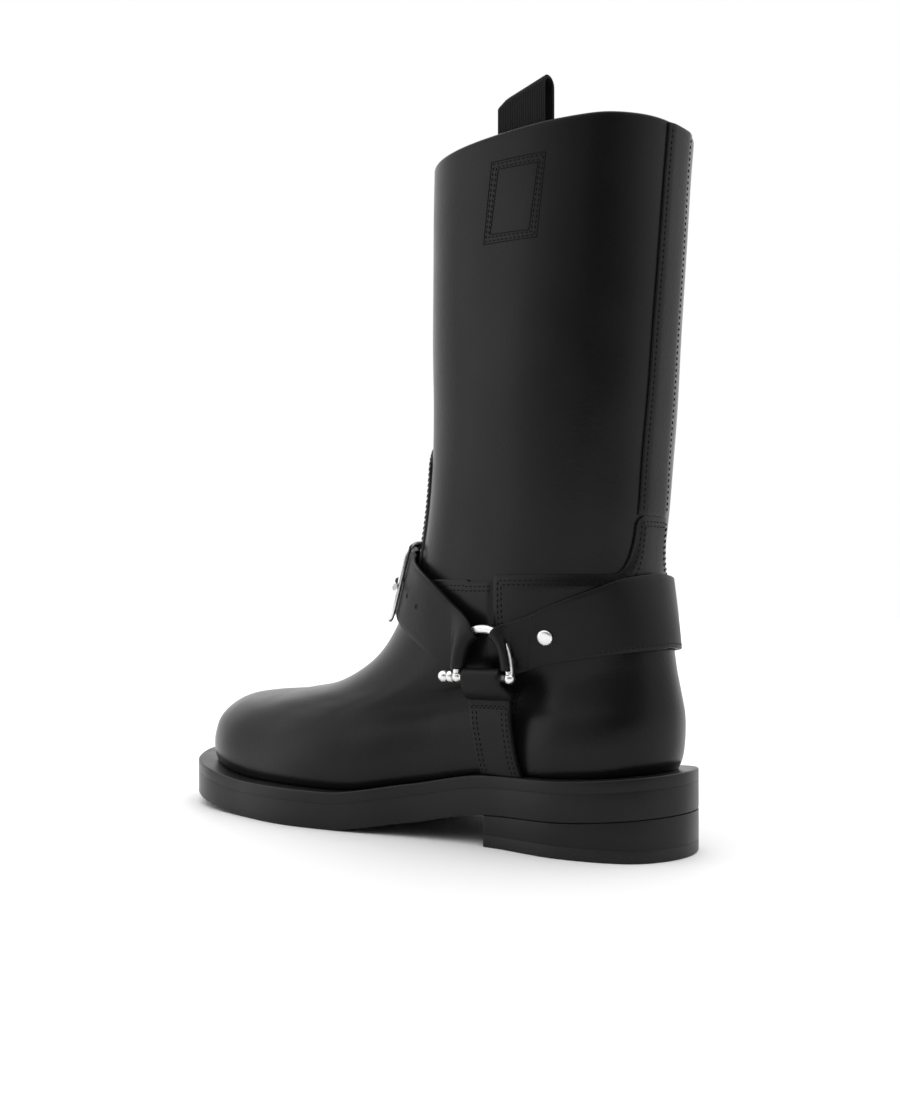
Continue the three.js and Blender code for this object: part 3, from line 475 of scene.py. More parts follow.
def leather(name, low, high, rough, coat, bump, wave=40.0, wave_depth=0.6, cell=900.0):
    """Leather from the shared grain, with its own tones, gloss and depth."""
    material, tree, shader = new_material(name)
    where = add(tree, "ShaderNodeTexCoord")
    grain = add(tree, "ShaderNodeGroup", {"node_tree": GRAIN})
    tree.links.new(where.outputs["Object"], grain.inputs["Vector"])
    for key, value in (("Cell", cell), ("Wave", wave), ("Wave Depth", wave_depth)):
        grain.inputs[key].default_value = value
    relief = add(tree, "ShaderNodeBump", Strength=1.0, Distance=bump,
                 Height=grain.outputs["Height"])
    tree.links.new(relief.outputs[0], shader.inputs["Normal"])
    tree.links.new(ramp(tree, grain.outputs["Tone"], low, high), shader.inputs["Base Color"])
    tree.links.new(rough_from(tree, grain.outputs["Sheen"], *rough), shader.inputs["Roughness"])
    set_values(shader, Coat_Weight=coat, Coat_Roughness=0.25, Specular_IOR_Level=0.15)
    return material


BLACK_LOW, BLACK_HIGH = (0.0035, 0.0035, 0.0036), (0.006, 0.006, 0.0062)
UPPER_LEATHER = leather("upper_leather", BLACK_LOW, BLACK_HIGH, (0.27, 0.34), 0.05, 0.0004)
STRAP_LEATHER = leather("strap_leather", BLACK_LOW, BLACK_HIGH, (0.4, 0.5), 0.04, 0.0003,
                        wave=60.0, wave_depth=0.4)
LINING = leather("lining_leather", (0.014, 0.013, 0.012), (0.022, 0.02, 0.018), (0.6, 0.75), 0.0,
                 0.0004, cell=1400.0)
EDGE_PAINT = leather("edge_paint", (0.008, 0.008, 0.008), (0.012, 0.012, 0.012), (0.25, 0.4),
                     0.3, 0.0002, cell=600.0)
SOLE_EDGE = leather("sole_edge_dressing", (0.007, 0.007, 0.0075), (0.012, 0.012, 0.0125),
                    (0.3, 0.4), 0.05, 0.0002, wave=55.0, wave_depth=0.35, cell=500.0)
print("leather finishes ready")


# %% Rubber, thread, tape and metal
def tread_rubber():
    """Matt rubber. Where a face looks down, ridges across the sole are pressed into it."""
    material, tree, shader = new_material("sole_rubber")
    where = add(tree, "ShaderNodeTexCoord")
    ridges = add(tree, "ShaderNodeTexWave", {"bands_direction": "Y"},
                 Vector=where.outputs["Object"], Scale=70.0, Distortion=0.6, Detail=1.0)
    facing = add(tree, "ShaderNodeSeparateXYZ", i0=where.outputs["Normal"])
    down = math_node(tree, "LESS_THAN", facing.outputs[2], -0.7)
    speck = add(tree, "ShaderNodeTexNoise", Vector=where.outputs["Object"], Scale=1200.0)
    height = math_node(tree, "ADD", math_node(tree, "MULTIPLY", ridges.outputs[1], down),
                       math_node(tree, "MULTIPLY", speck.outputs[0], 0.08))
    relief = add(tree, "ShaderNodeBump", Strength=0.8, Distance=0.001, Height=height)
    tree.links.new(relief.outputs[0], shader.inputs["Normal"])
    tone = ramp(tree, speck.outputs[0], (0.008, 0.008, 0.008), (0.014, 0.014, 0.014))
    tree.links.new(tone, shader.inputs["Base Color"])
    tree.links.new(rough_from(tree, speck.outputs[0], 0.34, 0.46), shader.inputs["Roughness"])
    set_values(shader, Specular_IOR_Level=0.22)
    return material


def ribbed_tape():
    """Woven tape: ribs run along it, and finer weft crosses them, both by its own UV map."""
    material, tree, shader = new_material("ribbed_tape")
    where = add(tree, "ShaderNodeUVMap", {"uv_map": "along"})
    ribs = add(tree, "ShaderNodeTexWave", {"bands_direction": "X"}, Vector=where.outputs[0],
               Scale=0.33, Distortion=0.5, Detail=1.0, Detail_Scale=2.0)
    weft = add(tree, "ShaderNodeTexWave", {"bands_direction": "Y"}, Vector=where.outputs[0],
               Scale=0.6, Distortion=0.8, Detail=1.0)
    height = math_node(tree, "ADD", ribs.outputs[1],
                       math_node(tree, "MULTIPLY", weft.outputs[1], 0.35))
    relief = add(tree, "ShaderNodeBump", Strength=1.0, Distance=0.0005, Height=height)
    tree.links.new(relief.outputs[0], shader.inputs["Normal"])
    # The colour follows the relief: darker in the low grooves between the ribs as painted shade,
    # lighter on the raised ribs.
    tone = ramp(tree, height, (0.0012, 0.0012, 0.0012), (0.006, 0.006, 0.006), (0.2, 1.0))
    tree.links.new(tone, shader.inputs["Base Color"])
    set_values(shader, Roughness=0.8, Specular_IOR_Level=0.2)
    return material


def plated_metal():
    """Bright nickel with faint polishing marks."""
    material, tree, shader = new_material("nickel_plate")
    where = add(tree, "ShaderNodeTexCoord")
    marks = add(tree, "ShaderNodeTexNoise", Vector=where.outputs["Object"], Scale=500.0,
                Detail=3.0)
    relief = add(tree, "ShaderNodeBump", Strength=0.15, Distance=0.0002,
                 Height=marks.outputs[0])
    tree.links.new(relief.outputs[0], shader.inputs["Normal"])
    tree.links.new(ramp(tree, marks.outputs[0], (0.72, 0.72, 0.71), (0.84, 0.84, 0.83)),
                   shader.inputs["Base Color"])
    tree.links.new(rough_from(tree, marks.outputs[0], 0.26, 0.36), shader.inputs["Roughness"])
    set_values(shader, Metallic=1.0)
    return material


def waxed_thread():
    """Black waxed thread, with the strands' twist as fine bands."""
    material, tree, shader = new_material("waxed_thread")
    where = add(tree, "ShaderNodeTexCoord")
    twist = add(tree, "ShaderNodeTexNoise", Vector=where.outputs["Object"], Scale=3000.0)
    relief = add(tree, "ShaderNodeBump", Strength=0.5, Distance=0.0002, Height=twist.outputs[0])
    tree.links.new(relief.outputs[0], shader.inputs["Normal"])
    tree.links.new(ramp(tree, twist.outputs[0], (0.001, 0.001, 0.001), (0.004, 0.004, 0.004)),
                   shader.inputs["Base Color"])
    set_values(shader, Roughness=0.7, Specular_IOR_Level=0.15)
    return material


RUBBER, TAPE, NICKEL, THREAD = tread_rubber(), ribbed_tape(), plated_metal(), waxed_thread()
print("other finishes ready")

# %% [markdown]
# ## Sole
# The sole is a stack: outsole, midsole with the welt, heel block and top lift. Each layer is a
# slab between two heights, its edge rounded over. A ring is a closed line of points round the
# layer, in pairs that lie straight across from each other, so that a face can close the layer
# above and below.


# %% Sole layers
def layer_ring(inset, height, length=SOLE_LENGTH, pairs=150):
    """Pairs of points across a layer, crowded towards its ends by a cosine."""
    line = sole_outline(inset)
    start = line[:, 0].min()
    whole = length >= SOLE_LENGTH
    finish = line[:, 0].max() if whole else length
    share = (np.arange(pairs) + 0.5) / (pairs if whole else pairs - 0.5)
    turn = np.pi if whole else np.pi / 2
    along = start + (finish - start) * (1 - np.cos(turn * share)) / (2 if whole else 1)
    outer, inner = reach(line, along)
    up = height(along)
    return np.vstack([place(along, outer, up), place(along, inner, up)[::-1]])


def layer(name, bottom, top, material, length=SOLE_LENGTH, low=0.3, high=0.3):
    """A slab between two heights. Its edge is a quarter circle of one radius at the bottom and
    of another at the top."""
    turn = np.linspace(0, np.pi / 2, 5)
    rings = [layer_ring(low * (1 - np.sin(t)), lambda a, t=t: bottom(a) + low * (1 - np.cos(t)),
                        length) for t in turn]
    rings += [layer_ring(high * (1 - np.sin(t)), lambda a, t=t: top(a) - high * (1 - np.cos(t)),
                         length) for t in turn[::-1]]
    size = len(rings[0])
    faces = grid_quads(len(rings), size, wrap_columns=True).tolist()
    k = np.arange(size // 2 - 1)
    cap = np.stack([k, k + 1, size - 2 - k, size - 1 - k], 1)
    faces += cap.tolist() + (cap[:, ::-1] + (len(rings) - 1) * size).tolist()
    return make_piece(name, np.vstack(rings), faces, material, [name])


def flat(height):
    """A level height, the same all along."""
    return lambda along: np.full_like(along, height)


HAIRLINE = 0.04
layer("outsole", underside, lambda a: welt_top(a) - WELT_THICKNESS - HAIRLINE, SOLE_EDGE,
      low=1.0, high=0.1)
layer("midsole_welt", lambda a: welt_top(a) - WELT_THICKNESS, welt_top, SOLE_EDGE, low=0.1,
      high=0.9)
layer("heel_block", flat(TOP_LIFT + HAIRLINE), lambda a: underside(a) - HAIRLINE, SOLE_EDGE,
      HEEL_LENGTH, low=0.1, high=0.1)
layer("heel_top_lift", flat(0.0), flat(TOP_LIFT), RUBBER, HEEL_LENGTH, low=0.8, high=0.1)

# %% [markdown]
# ## Insole
# The insole is a flat leather board on the welt, its outline a little inside the upper's wall.

# %% Insole
turn = (np.arange(240) + 0.5) / 240


def insole_ring(inset, rise):
    """A ring inside the upper's foot, raised over the welt."""
    points = off_last(turn, np.zeros(240), -(UPPER_WALL + 0.7 + inset))
    points[:, 2] = welt_top(along_of(points)) + WELT_SEAT + rise
    return points


rings = [insole_ring(0, 0), insole_ring(0, 2.4), insole_ring(0.6, 3.0)]
faces = grid_quads(3, 240, wrap_columns=True).tolist()
k = np.arange(119)
cap = np.stack([k, k + 1, 238 - k, 239 - k], 1)
faces += cap.tolist() + (cap[:, ::-1] + 480).tolist()
make_piece("insole", np.vstack(rings), faces, LINING, ["insole"])

# %% [markdown]
# ## Upper and leg
# The upper is one hollow wall from the welt to the collar. Its outer face follows the last, and
# its lining lies a wall's thickness inside. At the collar the two roll over into each other. A
# real leg is never a perfect tube, so shallow troughs and swells move the outer face a little.

# %% Upper shell
COLUMNS, CORNER = 256, 0.115
OUTER_ROWS, RIM_ROWS, INNER_ROWS = 150, 7, 90


def leg_relief(around, row):
    """Soft swells of the leg: a few broad waves whose depth fades out at the foot and collar,
    and a low ridge down each back corner, where the leather turns from the side to the back."""
    turn = 2 * np.pi * around
    waves = 0.5 * np.sin(2 * turn + 0.35 * row) + 0.35 * np.sin(3 * turn - 0.8 * row + 1.0)
    waves += 0.25 * np.sin(5 * turn + 1.3 * row + 2.0)
    off_corner = np.minimum(np.abs(around - CORNER), np.abs(1 - around - CORNER))
    ridge = np.exp(-(off_corner / 0.03) ** 2) * ease(row, 9.5, 12.5)
    return 0.5 * waves * ease(row, 10.5, 13) * ease(TOP_ROW - row, 0, 1.0) + 0.9 * ridge


def upper_shell():
    """Outer face up, a half circle over the collar, and the lining's face down, closed below."""
    around = np.arange(COLUMNS) / COLUMNS
    up = np.linspace(0, TOP_ROW - 0.05, OUTER_ROWS)[:, None]
    outer = off_last(around[None, :], up + 0 * around, leg_relief(around[None, :], up))
    roll = np.linspace(0, np.pi, RIM_ROWS + 2)[1:-1, None]
    rim_row = np.full_like(roll, TOP_ROW - 0.05)
    rim = off_last(around[None, :], rim_row + 0 * around,
                   leg_relief(around[None, :], rim_row) + (np.cos(roll) - 1) * UPPER_WALL / 2)
    rim[..., 2] += np.sin(roll) * UPPER_WALL / 2
    down = np.linspace(TOP_ROW - 0.05, 0, INNER_ROWS)[:, None]
    inner = off_last(around[None, :], down + 0 * around,
                     leg_relief(around[None, :], down) - UPPER_WALL)
    return np.concatenate([outer, rim, inner])


shell = upper_shell()
faces = grid_quads(len(shell), COLUMNS, wrap_rows=True, wrap_columns=True)
upper = make_piece("upper", shell, faces.tolist(), [UPPER_LEATHER, LINING], ["upper"],
                   sharp=60)
centres = np.empty(len(upper.data.polygons) * 3)
upper.data.polygons.foreach_get("center", centres)
lined = np.arange(len(shell) * COLUMNS) // COLUMNS >= OUTER_ROWS + RIM_ROWS // 2 + 1
upper.data.polygons.foreach_set("material_index", lined[: len(upper.data.polygons)].astype(int))

# %% [markdown]
# ## Vamp and counter covers
# Over the upper lie two outer covers: the vamp over the front of the foot and the counter round
# the heel. Each has a level top edge with a tongue that stands on it. A cover is a grid of
# columns up the last; its tongue is a second grid on the same columns, as wide at each height as
# the tongue's outline. Solidify gives the leather its thickness and its painted edge.


# %% Cover surfaces
def tongue_half(up, tongue, foot, inset=0.0):
    """Half the tongue's width at a height: an elliptical fillet below, straight sides, a round
    corner above. An inset gives the line that lies that far inside the edge."""
    half, corner = tongue["width"] / 2 - inset, max(tongue["corner"] - inset, 0.01)
    foot, top = foot - inset, HEEL_SEAT + tongue["top"] - inset
    low = np.clip(1 - (up - foot) / tongue["fillet"], 0, 1)
    high = np.clip(up - (top - corner), 0, corner)
    return (half + tongue["sweep"] * (1 - np.sqrt(1 - low**2))
            - corner + np.sqrt(np.maximum(corner**2 - high**2, 0)))


def across_of(points):
    """How far a point lies to either side of the boot's middle line."""
    return np.abs(points[..., 0] + MIDDLE[1])


def tongue_turn(side, up, half, front):
    """The turn at which the last is as wide as the tongue's half at a height."""
    if front:
        measure = lambda p: -across_of(p)
        return around_at(side, up, measure, -half, near=0.25, far=0.5)
    return around_at(side, up, across_of, half, near=0.0, far=0.25)


def cover_top(side, up, front):
    """The widest turn a tongue can reach at a height, a little short of the last's side."""
    probe = np.linspace(0.25, 0.42, 40) if front else np.linspace(0.08, 0.25, 40)
    around = np.where(side > 0, probe, 1 - probe)[None, :] + 0 * up[:, None]
    return across_of(near_face(around, row_at(around, up[:, None]))).max(1) * 0.998


COVER_OFFSET = SEAM + COVER_WALL
SKIVE, SKIVE_REACH = 0.9, 5.0


def cover_rise(points, front, edge_height, tongue):
    """How far a cover's face lies off the last. It is skived thinner towards its edge, and the
    vamp dips where it runs under the counter's front edge."""
    foot, up, across = HEEL_SEAT + edge_height, points[..., 2], across_of(points)
    half, sweep = tongue["width"] / 2, tongue["sweep"]
    out = np.clip((half + sweep - across) / sweep, 0, 1)
    edge = np.where(across < half, HEEL_SEAT + tongue["top"],
                    foot + tongue["fillet"] * (1 - np.sqrt(1 - out**2)))
    inside = edge - up
    beside = np.where(up > foot, tongue_half(up, tongue, foot) - across, inside)
    rise = COVER_OFFSET - SKIVE * (1 - ease(np.minimum(inside, beside), 0, SKIVE_REACH))
    if front:
        rise = rise - 0.5 * (1 - ease(np.abs(along_of(points) - SIDE_SEAM), 0, 4))
    return rise


def cover(name, front, edge_height, tongue, replaced):
    """Both halves of a cover, column by column from the side seam to the middle line."""
    foot = HEEL_SEAT + edge_height
    centre = 0.5 if front else 0.0
    sideways, upward, tongue_rows = 46, 60, 34
    top = HEEL_SEAT + tongue["top"]
    turn = np.linspace(0, np.pi, tongue_rows)
    heights = foot + (top - foot - 1e-3) * (1 - np.cos(turn)) / 2
    points, faces = [], []
    for side in (1, -1):
        widest = cover_top(side, heights, front)
        half = np.minimum(tongue_half(heights, tongue, foot), widest)
        edge_turn = tongue_turn(side, heights, half, front)
        middle = centre if side > 0 else 1 - centre
        u = np.linspace(0, 1, sideways)
        tongue_around = mix(edge_turn[:, None], middle, u[None, :])
        tongue_rows_at = row_at(tongue_around, heights[:, None] + 0 * tongue_around)
        # main body: one column for each place along the level edge
        seam_line = SIDE_SEAM + (SEAM / 2 if front else -SEAM / 2)
        n_side = 40
        first = around_at(side, np.array([foot]), along_of, np.array([seam_line]))[0]
        edge_around = np.concatenate([
            mix(first, tongue_around[0, 0], np.linspace(0, 1, n_side)[:-1]), tongue_around[0]])
        share = (edge_around - first) / (middle - first)
        v = np.linspace(0, 1, upward)[:, None] ** 0.8
        around = edge_around[None, :] + 0 * v
        for _ in range(4):
            rows = row_at(around, foot) * v
            height = near_face(around, rows)[..., 2]
            seam_turn = around_at(side, height[:, 0], along_of, seam_line)
            around = mix(seam_turn[:, None], middle, share[None, :])
        around[-1] = edge_around
        rows = row_at(around, foot) * v
        lie = lambda a, r: off_last(
            a, r, cover_rise(near_face(a, r), front, edge_height, tongue))
        body = lie(around, rows)
        body[-1, n_side - 1:] = lie(tongue_around[0], tongue_rows_at[0])
        patch = lie(tongue_around, tongue_rows_at)
        for block in (body, patch):
            first_point = sum(len(p) for p in points)
            faces += grid_quads(*block.shape[:2], first=first_point).tolist()
            points.append(block.reshape(-1, 3))
    piece = make_piece(name, np.vstack(points), faces, [UPPER_LEATHER, EDGE_PAINT], [replaced],
                       sharp=60)
    check = np.array([p.normal @ p.center for p in piece.data.polygons])
    if check.mean() < 0:
        piece.data.flip_normals()
    wall = piece.modifiers.new("wall", "SOLIDIFY")
    wall.thickness, wall.offset, wall.material_offset_rim = COVER_WALL * MM, -1, 1
    soft = piece.modifiers.new("soft_edge", "BEVEL")
    soft.width, soft.segments, soft.limit_method = 0.45 * MM, 2, "ANGLE"
    soft.angle_limit = math.radians(60)
    return piece


cover("vamp", True, VAMP_EDGE, VAMP_TONGUE, "vamp")
cover("counter", False, COUNTER_EDGE, COUNTER_TONGUE, "counter")

# %% [markdown]
# ## Back strip
# A narrow strip of the same leather covers the back seam of the leg, from the counter's tongue
# up to the collar.

# %% Back strip
STAY_FOOT, STAY_TOP = HEEL_SEAT + COUNTER_TONGUE["top"] + SEAM, HEEL_SEAT + UPPER_HEIGHT


def stay_edge(side, up):
    """Where an edge of the strip lies across the boot: it narrows upwards and drifts inwards."""
    share = (up - STAY_FOOT) / (STAY_TOP - STAY_FOOT)
    return side * mix(BACK_STAY["foot"], BACK_STAY["top"], share) / 2 - share * BACK_STAY["drift"]


def on_stay(up, across):
    """A point of the strip's face, skived towards its edges, and the normal there."""
    side = np.where(across >= 0, 1, -1)
    around = around_at(side, up, across_of, np.abs(across), 0.0, 0.25)
    rows = row_at(around, up)
    inside = np.minimum(stay_edge(1, up) - across, across - stay_edge(-1, up))
    rise = SEAM + STAY_WALL - 0.6 * (1 - ease(inside, 0, 4)) + leg_relief(around, rows)
    return off_last(around, rows, rise), last_normal(around, rows)


stay_up = np.linspace(STAY_FOOT, STAY_TOP, 90)[:, None]
shares = np.concatenate([[0, 0.04, 0.1], np.linspace(0.18, 0.82, 11), [0.9, 0.96, 1]])[None, :]
stay, _ = on_stay(stay_up + 0 * shares, mix(stay_edge(-1, stay_up), stay_edge(1, stay_up), shares))
back_stay = make_piece("back_stay", stay, grid_quads(*stay.shape[:2]).tolist(),
                       [UPPER_LEATHER, EDGE_PAINT], ["back_stay"], sharp=60)
if np.mean([p.normal.y for p in back_stay.data.polygons]) < 0:
    back_stay.data.flip_normals()
wall = back_stay.modifiers.new("wall", "SOLIDIFY")
wall.thickness, wall.offset, wall.material_offset_rim = STAY_WALL * MM, -1, 1
soft = back_stay.modifiers.new("soft_edge", "BEVEL")
soft.width, soft.segments, soft.limit_method = 0.35 * MM, 2, "ANGLE"

# %% [markdown]
# ## Harness straps
# A harness strap is a flat band that leans on the boot between two edge lines, wraps round the
# shackle's wire at its end and comes back behind. It is made as a grid along its middle layer;
# the ribbon function gives it two faces and round edges.

# %% Strap tables
STRAP, LOOP_PLY, ARCH_STRAP = 2.4, 1.8, 2.6
SHACKLE = {"place": 74.5, "height": 41, "width": 26.5, "rise": 21, "lean": 4.5, "wire": 1.9,
           "pin": 1.7, "foot": 2.5, "knob": 3.4}
BUCKLE = {"bearing": 0.437, "length": 26, "width": 38, "bar": 3.4, "thickness": 2.6, "prong": 3,
          "eye": 3.1, "rear": 0.7}
# bearing, low edge, high edge, stand-off towards the shackle
HEEL_ROWS = np.array([
    [0, 0.187, 0.308, 0], [0.036, 0.182, 0.301, 0], [0.058, 0.176, 0.287, 0],
    [0.095, 0.166, 0.262, 0.2], [0.113, 0.159, 0.25, 0.5], [0.165, 0.144, 0.23, 1.4],
])
INSTEP_ROWS = np.array([
    [0.182, 0.148, 0.232, 1.5], [0.25, 0.155, 0.274, 1], [0.305, 0.181, 0.303, 0.6],
    [0.387, 0.222, 0.334, 0.1], [0.437, 0.247, 0.346, 0], [0.5, 0.262, 0.353, 0],
])
# share up from the welt to the pin, front and back edge as shares of the shackle's width
ARCH_ROWS = np.array([
    [0, 0.3, -0.55, 0], [0.35, 0.37, -0.46, 0.8], [0.7, 0.48, -0.4, 2.2], [0.88, 0.46, -0.42, 3],
])
STRAP_STAND = COVER_OFFSET + STRAP_CLEARANCE
EYE_RADIUS = SHACKLE["wire"] + WIRE_CLEARANCE + LOOP_PLY
WIRE_STAND = STRAP_STAND + EYE_RADIUS
STRAP_LIFT = WIRE_STAND - STRAP_STAND - STRAP / 2
UNDER_STRAP = (0.25, 0.5, 0.75)


def up_at(share):
    """Height at a share of the upper's height over the heel seat."""
    return HEEL_SEAT + share * UPPER_HEIGHT


def lean(low, high, faces, lift, across, out):
    """A point of a strap held between two edges and clear of the faces between them."""
    normal = unit(low[1] + high[1])
    bulge = np.maximum(0, np.max([((f[0] - low[0]) * normal).sum(-1) for f in faces], 0))
    offset = STRAP_STAND + lift * STRAP_LIFT + bulge
    return mix(low[0], high[0], across[..., None]) + normal * (offset + out)[..., None]


def strap_point(rows, bearing, across, out):
    """A point of a strap that runs round the boot, at a bearing; across is 0 at its low edge."""
    bearing, across, out = np.broadcast_arrays(
        *(np.asarray(x, float) for x in (bearing, across, out)))
    at = np.where(bearing > 0.5, 1 - bearing, np.abs(bearing))
    bottom, top, rise = (monotone(rows[:, 0], rows[:, k], at) for k in (1, 2, 3))
    low, high = face_bearing(bearing, up_at(bottom)), face_bearing(bearing, up_at(top))
    faces = [face_bearing(bearing, up_at(mix(bottom, top, q))) for q in UNDER_STRAP]
    return lean(low, high, faces, rise, across, out)


def ribbon(name, middle, thickness, material, replaced=(), steps=7,
           roundness=0.4):
    """A solid band from a grid along its middle layer: the two faces lie half a thickness off
    it along its normal, and half ellipses close its edges. The thickness may vary along it."""
    run, width = np.gradient(middle, axis=0), np.gradient(middle, axis=1)
    normal = unit(np.cross(run, width))
    edge = unit(width)
    half = np.broadcast_to(thickness, len(middle))[:, None, None] / 2
    turn = np.linspace(0, np.pi, steps + 2)[1:-1][None, :, None]
    over = lambda k, sign: (middle[:, k, None] + normal[:, k, None] * np.cos(turn) * half
                            + sign * edge[:, k, None] * np.sin(turn) * half * roundness)
    loops = np.concatenate([middle + normal * half, over(-1, 1),
                            (middle - normal * half)[:, ::-1], over(0, -1)[:, ::-1]], 1)
    faces = tube_faces(*loops.shape[:2])
    return make_piece(name, loops, faces, material, replaced, sharp=50)


print("strap tables ready")


# %% Shackle frames
def shackle_frame(side):
    """Centre and three axes of a shackle: along its pin, up, and off the boot."""
    up = HEEL_SEAT + SHACKLE["height"]
    point, normal = face_along(side, SHACKLE["place"], up + SHACKLE["rise"] / 2)
    upward = unit(np.array([0, 0, 1.0]) - normal * normal[2])
    sideways = np.cross(upward, normal)
    centre = point + normal * (WIRE_STAND + SHACKLE["lean"]) - upward * SHACKLE["rise"] / 2
    upward = unit(upward * SHACKLE["rise"] - normal * SHACKLE["lean"])
    return centre, np.stack([sideways, upward, np.cross(sideways, upward)])


def bow_point(share):
    """The bow's middle line: cosine and sine of the turn, each filled out by a power."""
    turn = np.pi * np.asarray(share, float)
    fill = lambda v: np.sign(v) * np.abs(v) ** 0.86
    flat_part = np.zeros_like(turn)
    return np.stack([fill(-np.cos(turn)) * SHACKLE["width"] / 2,
                     fill(np.sin(turn)) * SHACKLE["rise"], flat_part], -1)


def in_frame(points, frame_of):
    """From a shackle's own axes to the boot's frame."""
    return frame_of[0] + points @ frame_of[1]


FRAMES = {"outer": shackle_frame(1), "inner": shackle_frame(-1)}
print("shackles at", {k: np.round(v[0], 1).tolist() for k, v in FRAMES.items()})


# %% Wrapped strap ends
def wrap_end(frame_of, shares, arrive, before, steps=14):
    """The last part of a strap, from its end round the wire: a smooth curve reaches the wire's
    top, then the middle layer turns round the wire in a circle of its own radius."""
    line = bow_point(shares)
    ahead = bow_point(np.asarray(shares) + 0.004) - bow_point(np.asarray(shares) - 0.004)
    outward = unit(np.stack([-ahead[:, 1], ahead[:, 0], 0 * ahead[:, 0]], -1))
    wire = in_frame(line, frame_of)
    away = outward @ frame_of[1]
    off = np.broadcast_to(frame_of[1][2], away.shape)
    radius = SHACKLE["wire"] + WIRE_CLEARANCE + WRAP_PLY / 2
    turn = np.linspace(0, 1.15 * np.pi, steps)[:, None, None]
    circle = wire + radius * (off * np.cos(turn) - away * np.sin(turn))
    start, end = arrive, circle[0]
    length = np.linalg.norm(end - start, axis=-1, keepdims=True)
    lead_in, lead_out = unit(arrive - before) * length, -away * length
    q = np.linspace(0, 1, 11)[1:-1, None, None]
    bridge = ((2 * q**3 - 3 * q**2 + 1) * start + (q**3 - 2 * q**2 + q) * lead_in
              + (-2 * q**3 + 3 * q**2) * end + (q**3 - q**2) * lead_out)
    return np.concatenate([bridge, circle])


def thinned(count, ends):
    """A strap's thickness at each station: whole along its run, thinner where it wraps."""
    wrap = mix(STRAP, WRAP_PLY, ease(np.arange(23), 0, 9))
    start = wrap[::-1] if ends[0] else wrap[:0]
    return np.concatenate([start, np.full(count, STRAP), wrap if ends[1] else wrap[:0]])


def strap_between(rows, first, last, count, layer_over=None, across=None):
    """The middle layer of a strap from one bearing to another."""
    across = np.linspace(0, 1, 13) if across is None else across
    bearing = np.linspace(first, last, count)[:, None]
    inner = layer_over(bearing) if layer_over else 0 * bearing
    crown = 0.35 * (1 - (2 * across - 1) ** 2)
    return strap_point(rows, bearing, across[None, :], inner + STRAP / 2 + crown[None, :])


ACROSS = np.linspace(0.03, 0.97, 13)
WRAP_PLY = 1.6
BACK_GRIP, FRONT_GRIP = (0.97, 0.61), (0.03, 0.43)
HEEL_END = 0.132


def doubled(bearing):
    """The strap's end is folded back behind it as far as the rivet, so its face stands out there.
    The step is sharp at the top edge and fades towards the low edge."""
    step = ease(PLY_END - np.abs(bearing), -0.0016, 0.0016)
    return 0.7 * step * (0.35 + 0.65 * ease(ACROSS, 0.35, 0.8)) * ease(np.abs(bearing), 0.03, 0.09)


PLY_END = 0.1085
run = strap_between(HEEL_ROWS, -HEEL_END, HEEL_END, 220, doubled, ACROSS)
outer_end = wrap_end(FRAMES["outer"], mix(*BACK_GRIP, ACROSS), run[-1], run[-2])
inner_end = wrap_end(FRAMES["inner"], 1 - mix(*BACK_GRIP, ACROSS), run[0], run[1])
heel_middle = np.concatenate([inner_end[::-1], run, outer_end])
ribbon("heel_strap", heel_middle, thinned(220, (True, True)), STRAP_LEATHER, ["heel_strap"])


# %% Buckle measures
def buckle_at(bearing, across):
    """A point of the instep strap's inner face."""
    return strap_point(INSTEP_ROWS, bearing, across, 0.0)


PER_AHEAD = 0.02 / np.linalg.norm(buckle_at(BUCKLE["bearing"] - 0.01, 0.5)
                                  - buckle_at(BUCKLE["bearing"] + 0.01, 0.5))
PER_ASIDE = 1 / np.linalg.norm(buckle_at(BUCKLE["bearing"], 0.0)
                               - buckle_at(BUCKLE["bearing"], 1.0))
REAR_AHEAD = (BUCKLE["bar"] * BUCKLE["rear"] - BUCKLE["length"]) / 2
REAR_OUT = BUCKLE["eye"] - STRAP_CLEARANCE + SEAM


def on_buckle(ahead, aside, out):
    """Measures about the buckle, in millimetres: towards the outer shackle, across, and off."""
    bearing = BUCKLE["bearing"] - np.asarray(ahead) * PER_AHEAD
    return strap_point(INSTEP_ROWS, bearing, 0.5 + np.asarray(aside) * PER_ASIDE, out)


def over_bar(bearing):
    """How far the outer strap lies off the boot: over the rear bar's eye, then the inner strap."""
    ahead = (BUCKLE["bearing"] - bearing) / PER_AHEAD
    below = (STRAP + SEAM) * ease(-ahead, -BUCKLE["length"] / 4, 0)
    near = 1 - ease(np.abs(ahead - REAR_AHEAD), BUCKLE["eye"], 3.2 * BUCKLE["eye"])
    return np.maximum(below, near * (REAR_OUT + BUCKLE["eye"] + SEAM))


FRONT_OUT = STRAP + 2 * SEAM + float(over_bar(BUCKLE["bearing"] - BUCKLE["length"] / 2 * PER_AHEAD))
print("buckle: one millimetre is", round(float(PER_AHEAD), 5), "of a turn")

# %% Instep straps
INSTEP_START, TIP_BEARING = 0.235, 0.585
run = strap_between(INSTEP_ROWS, INSTEP_START, TIP_BEARING, 150, over_bar, ACROSS)
tip = np.sqrt(np.clip(1 - (np.arange(14) / 13.6) ** 2, 0, 1))[:, None, None]
centre = run[-14:].mean(1, keepdims=True)
run[-14:] = centre + (run[-14:] - centre) * tip
outer_end = wrap_end(FRAMES["outer"], mix(*FRONT_GRIP, ACROSS), run[0], run[1])
ribbon("instep_strap_outer", np.concatenate([outer_end[::-1], run]), thinned(150, (True, False)),
       STRAP_LEATHER, ["instep_strap_outer"])

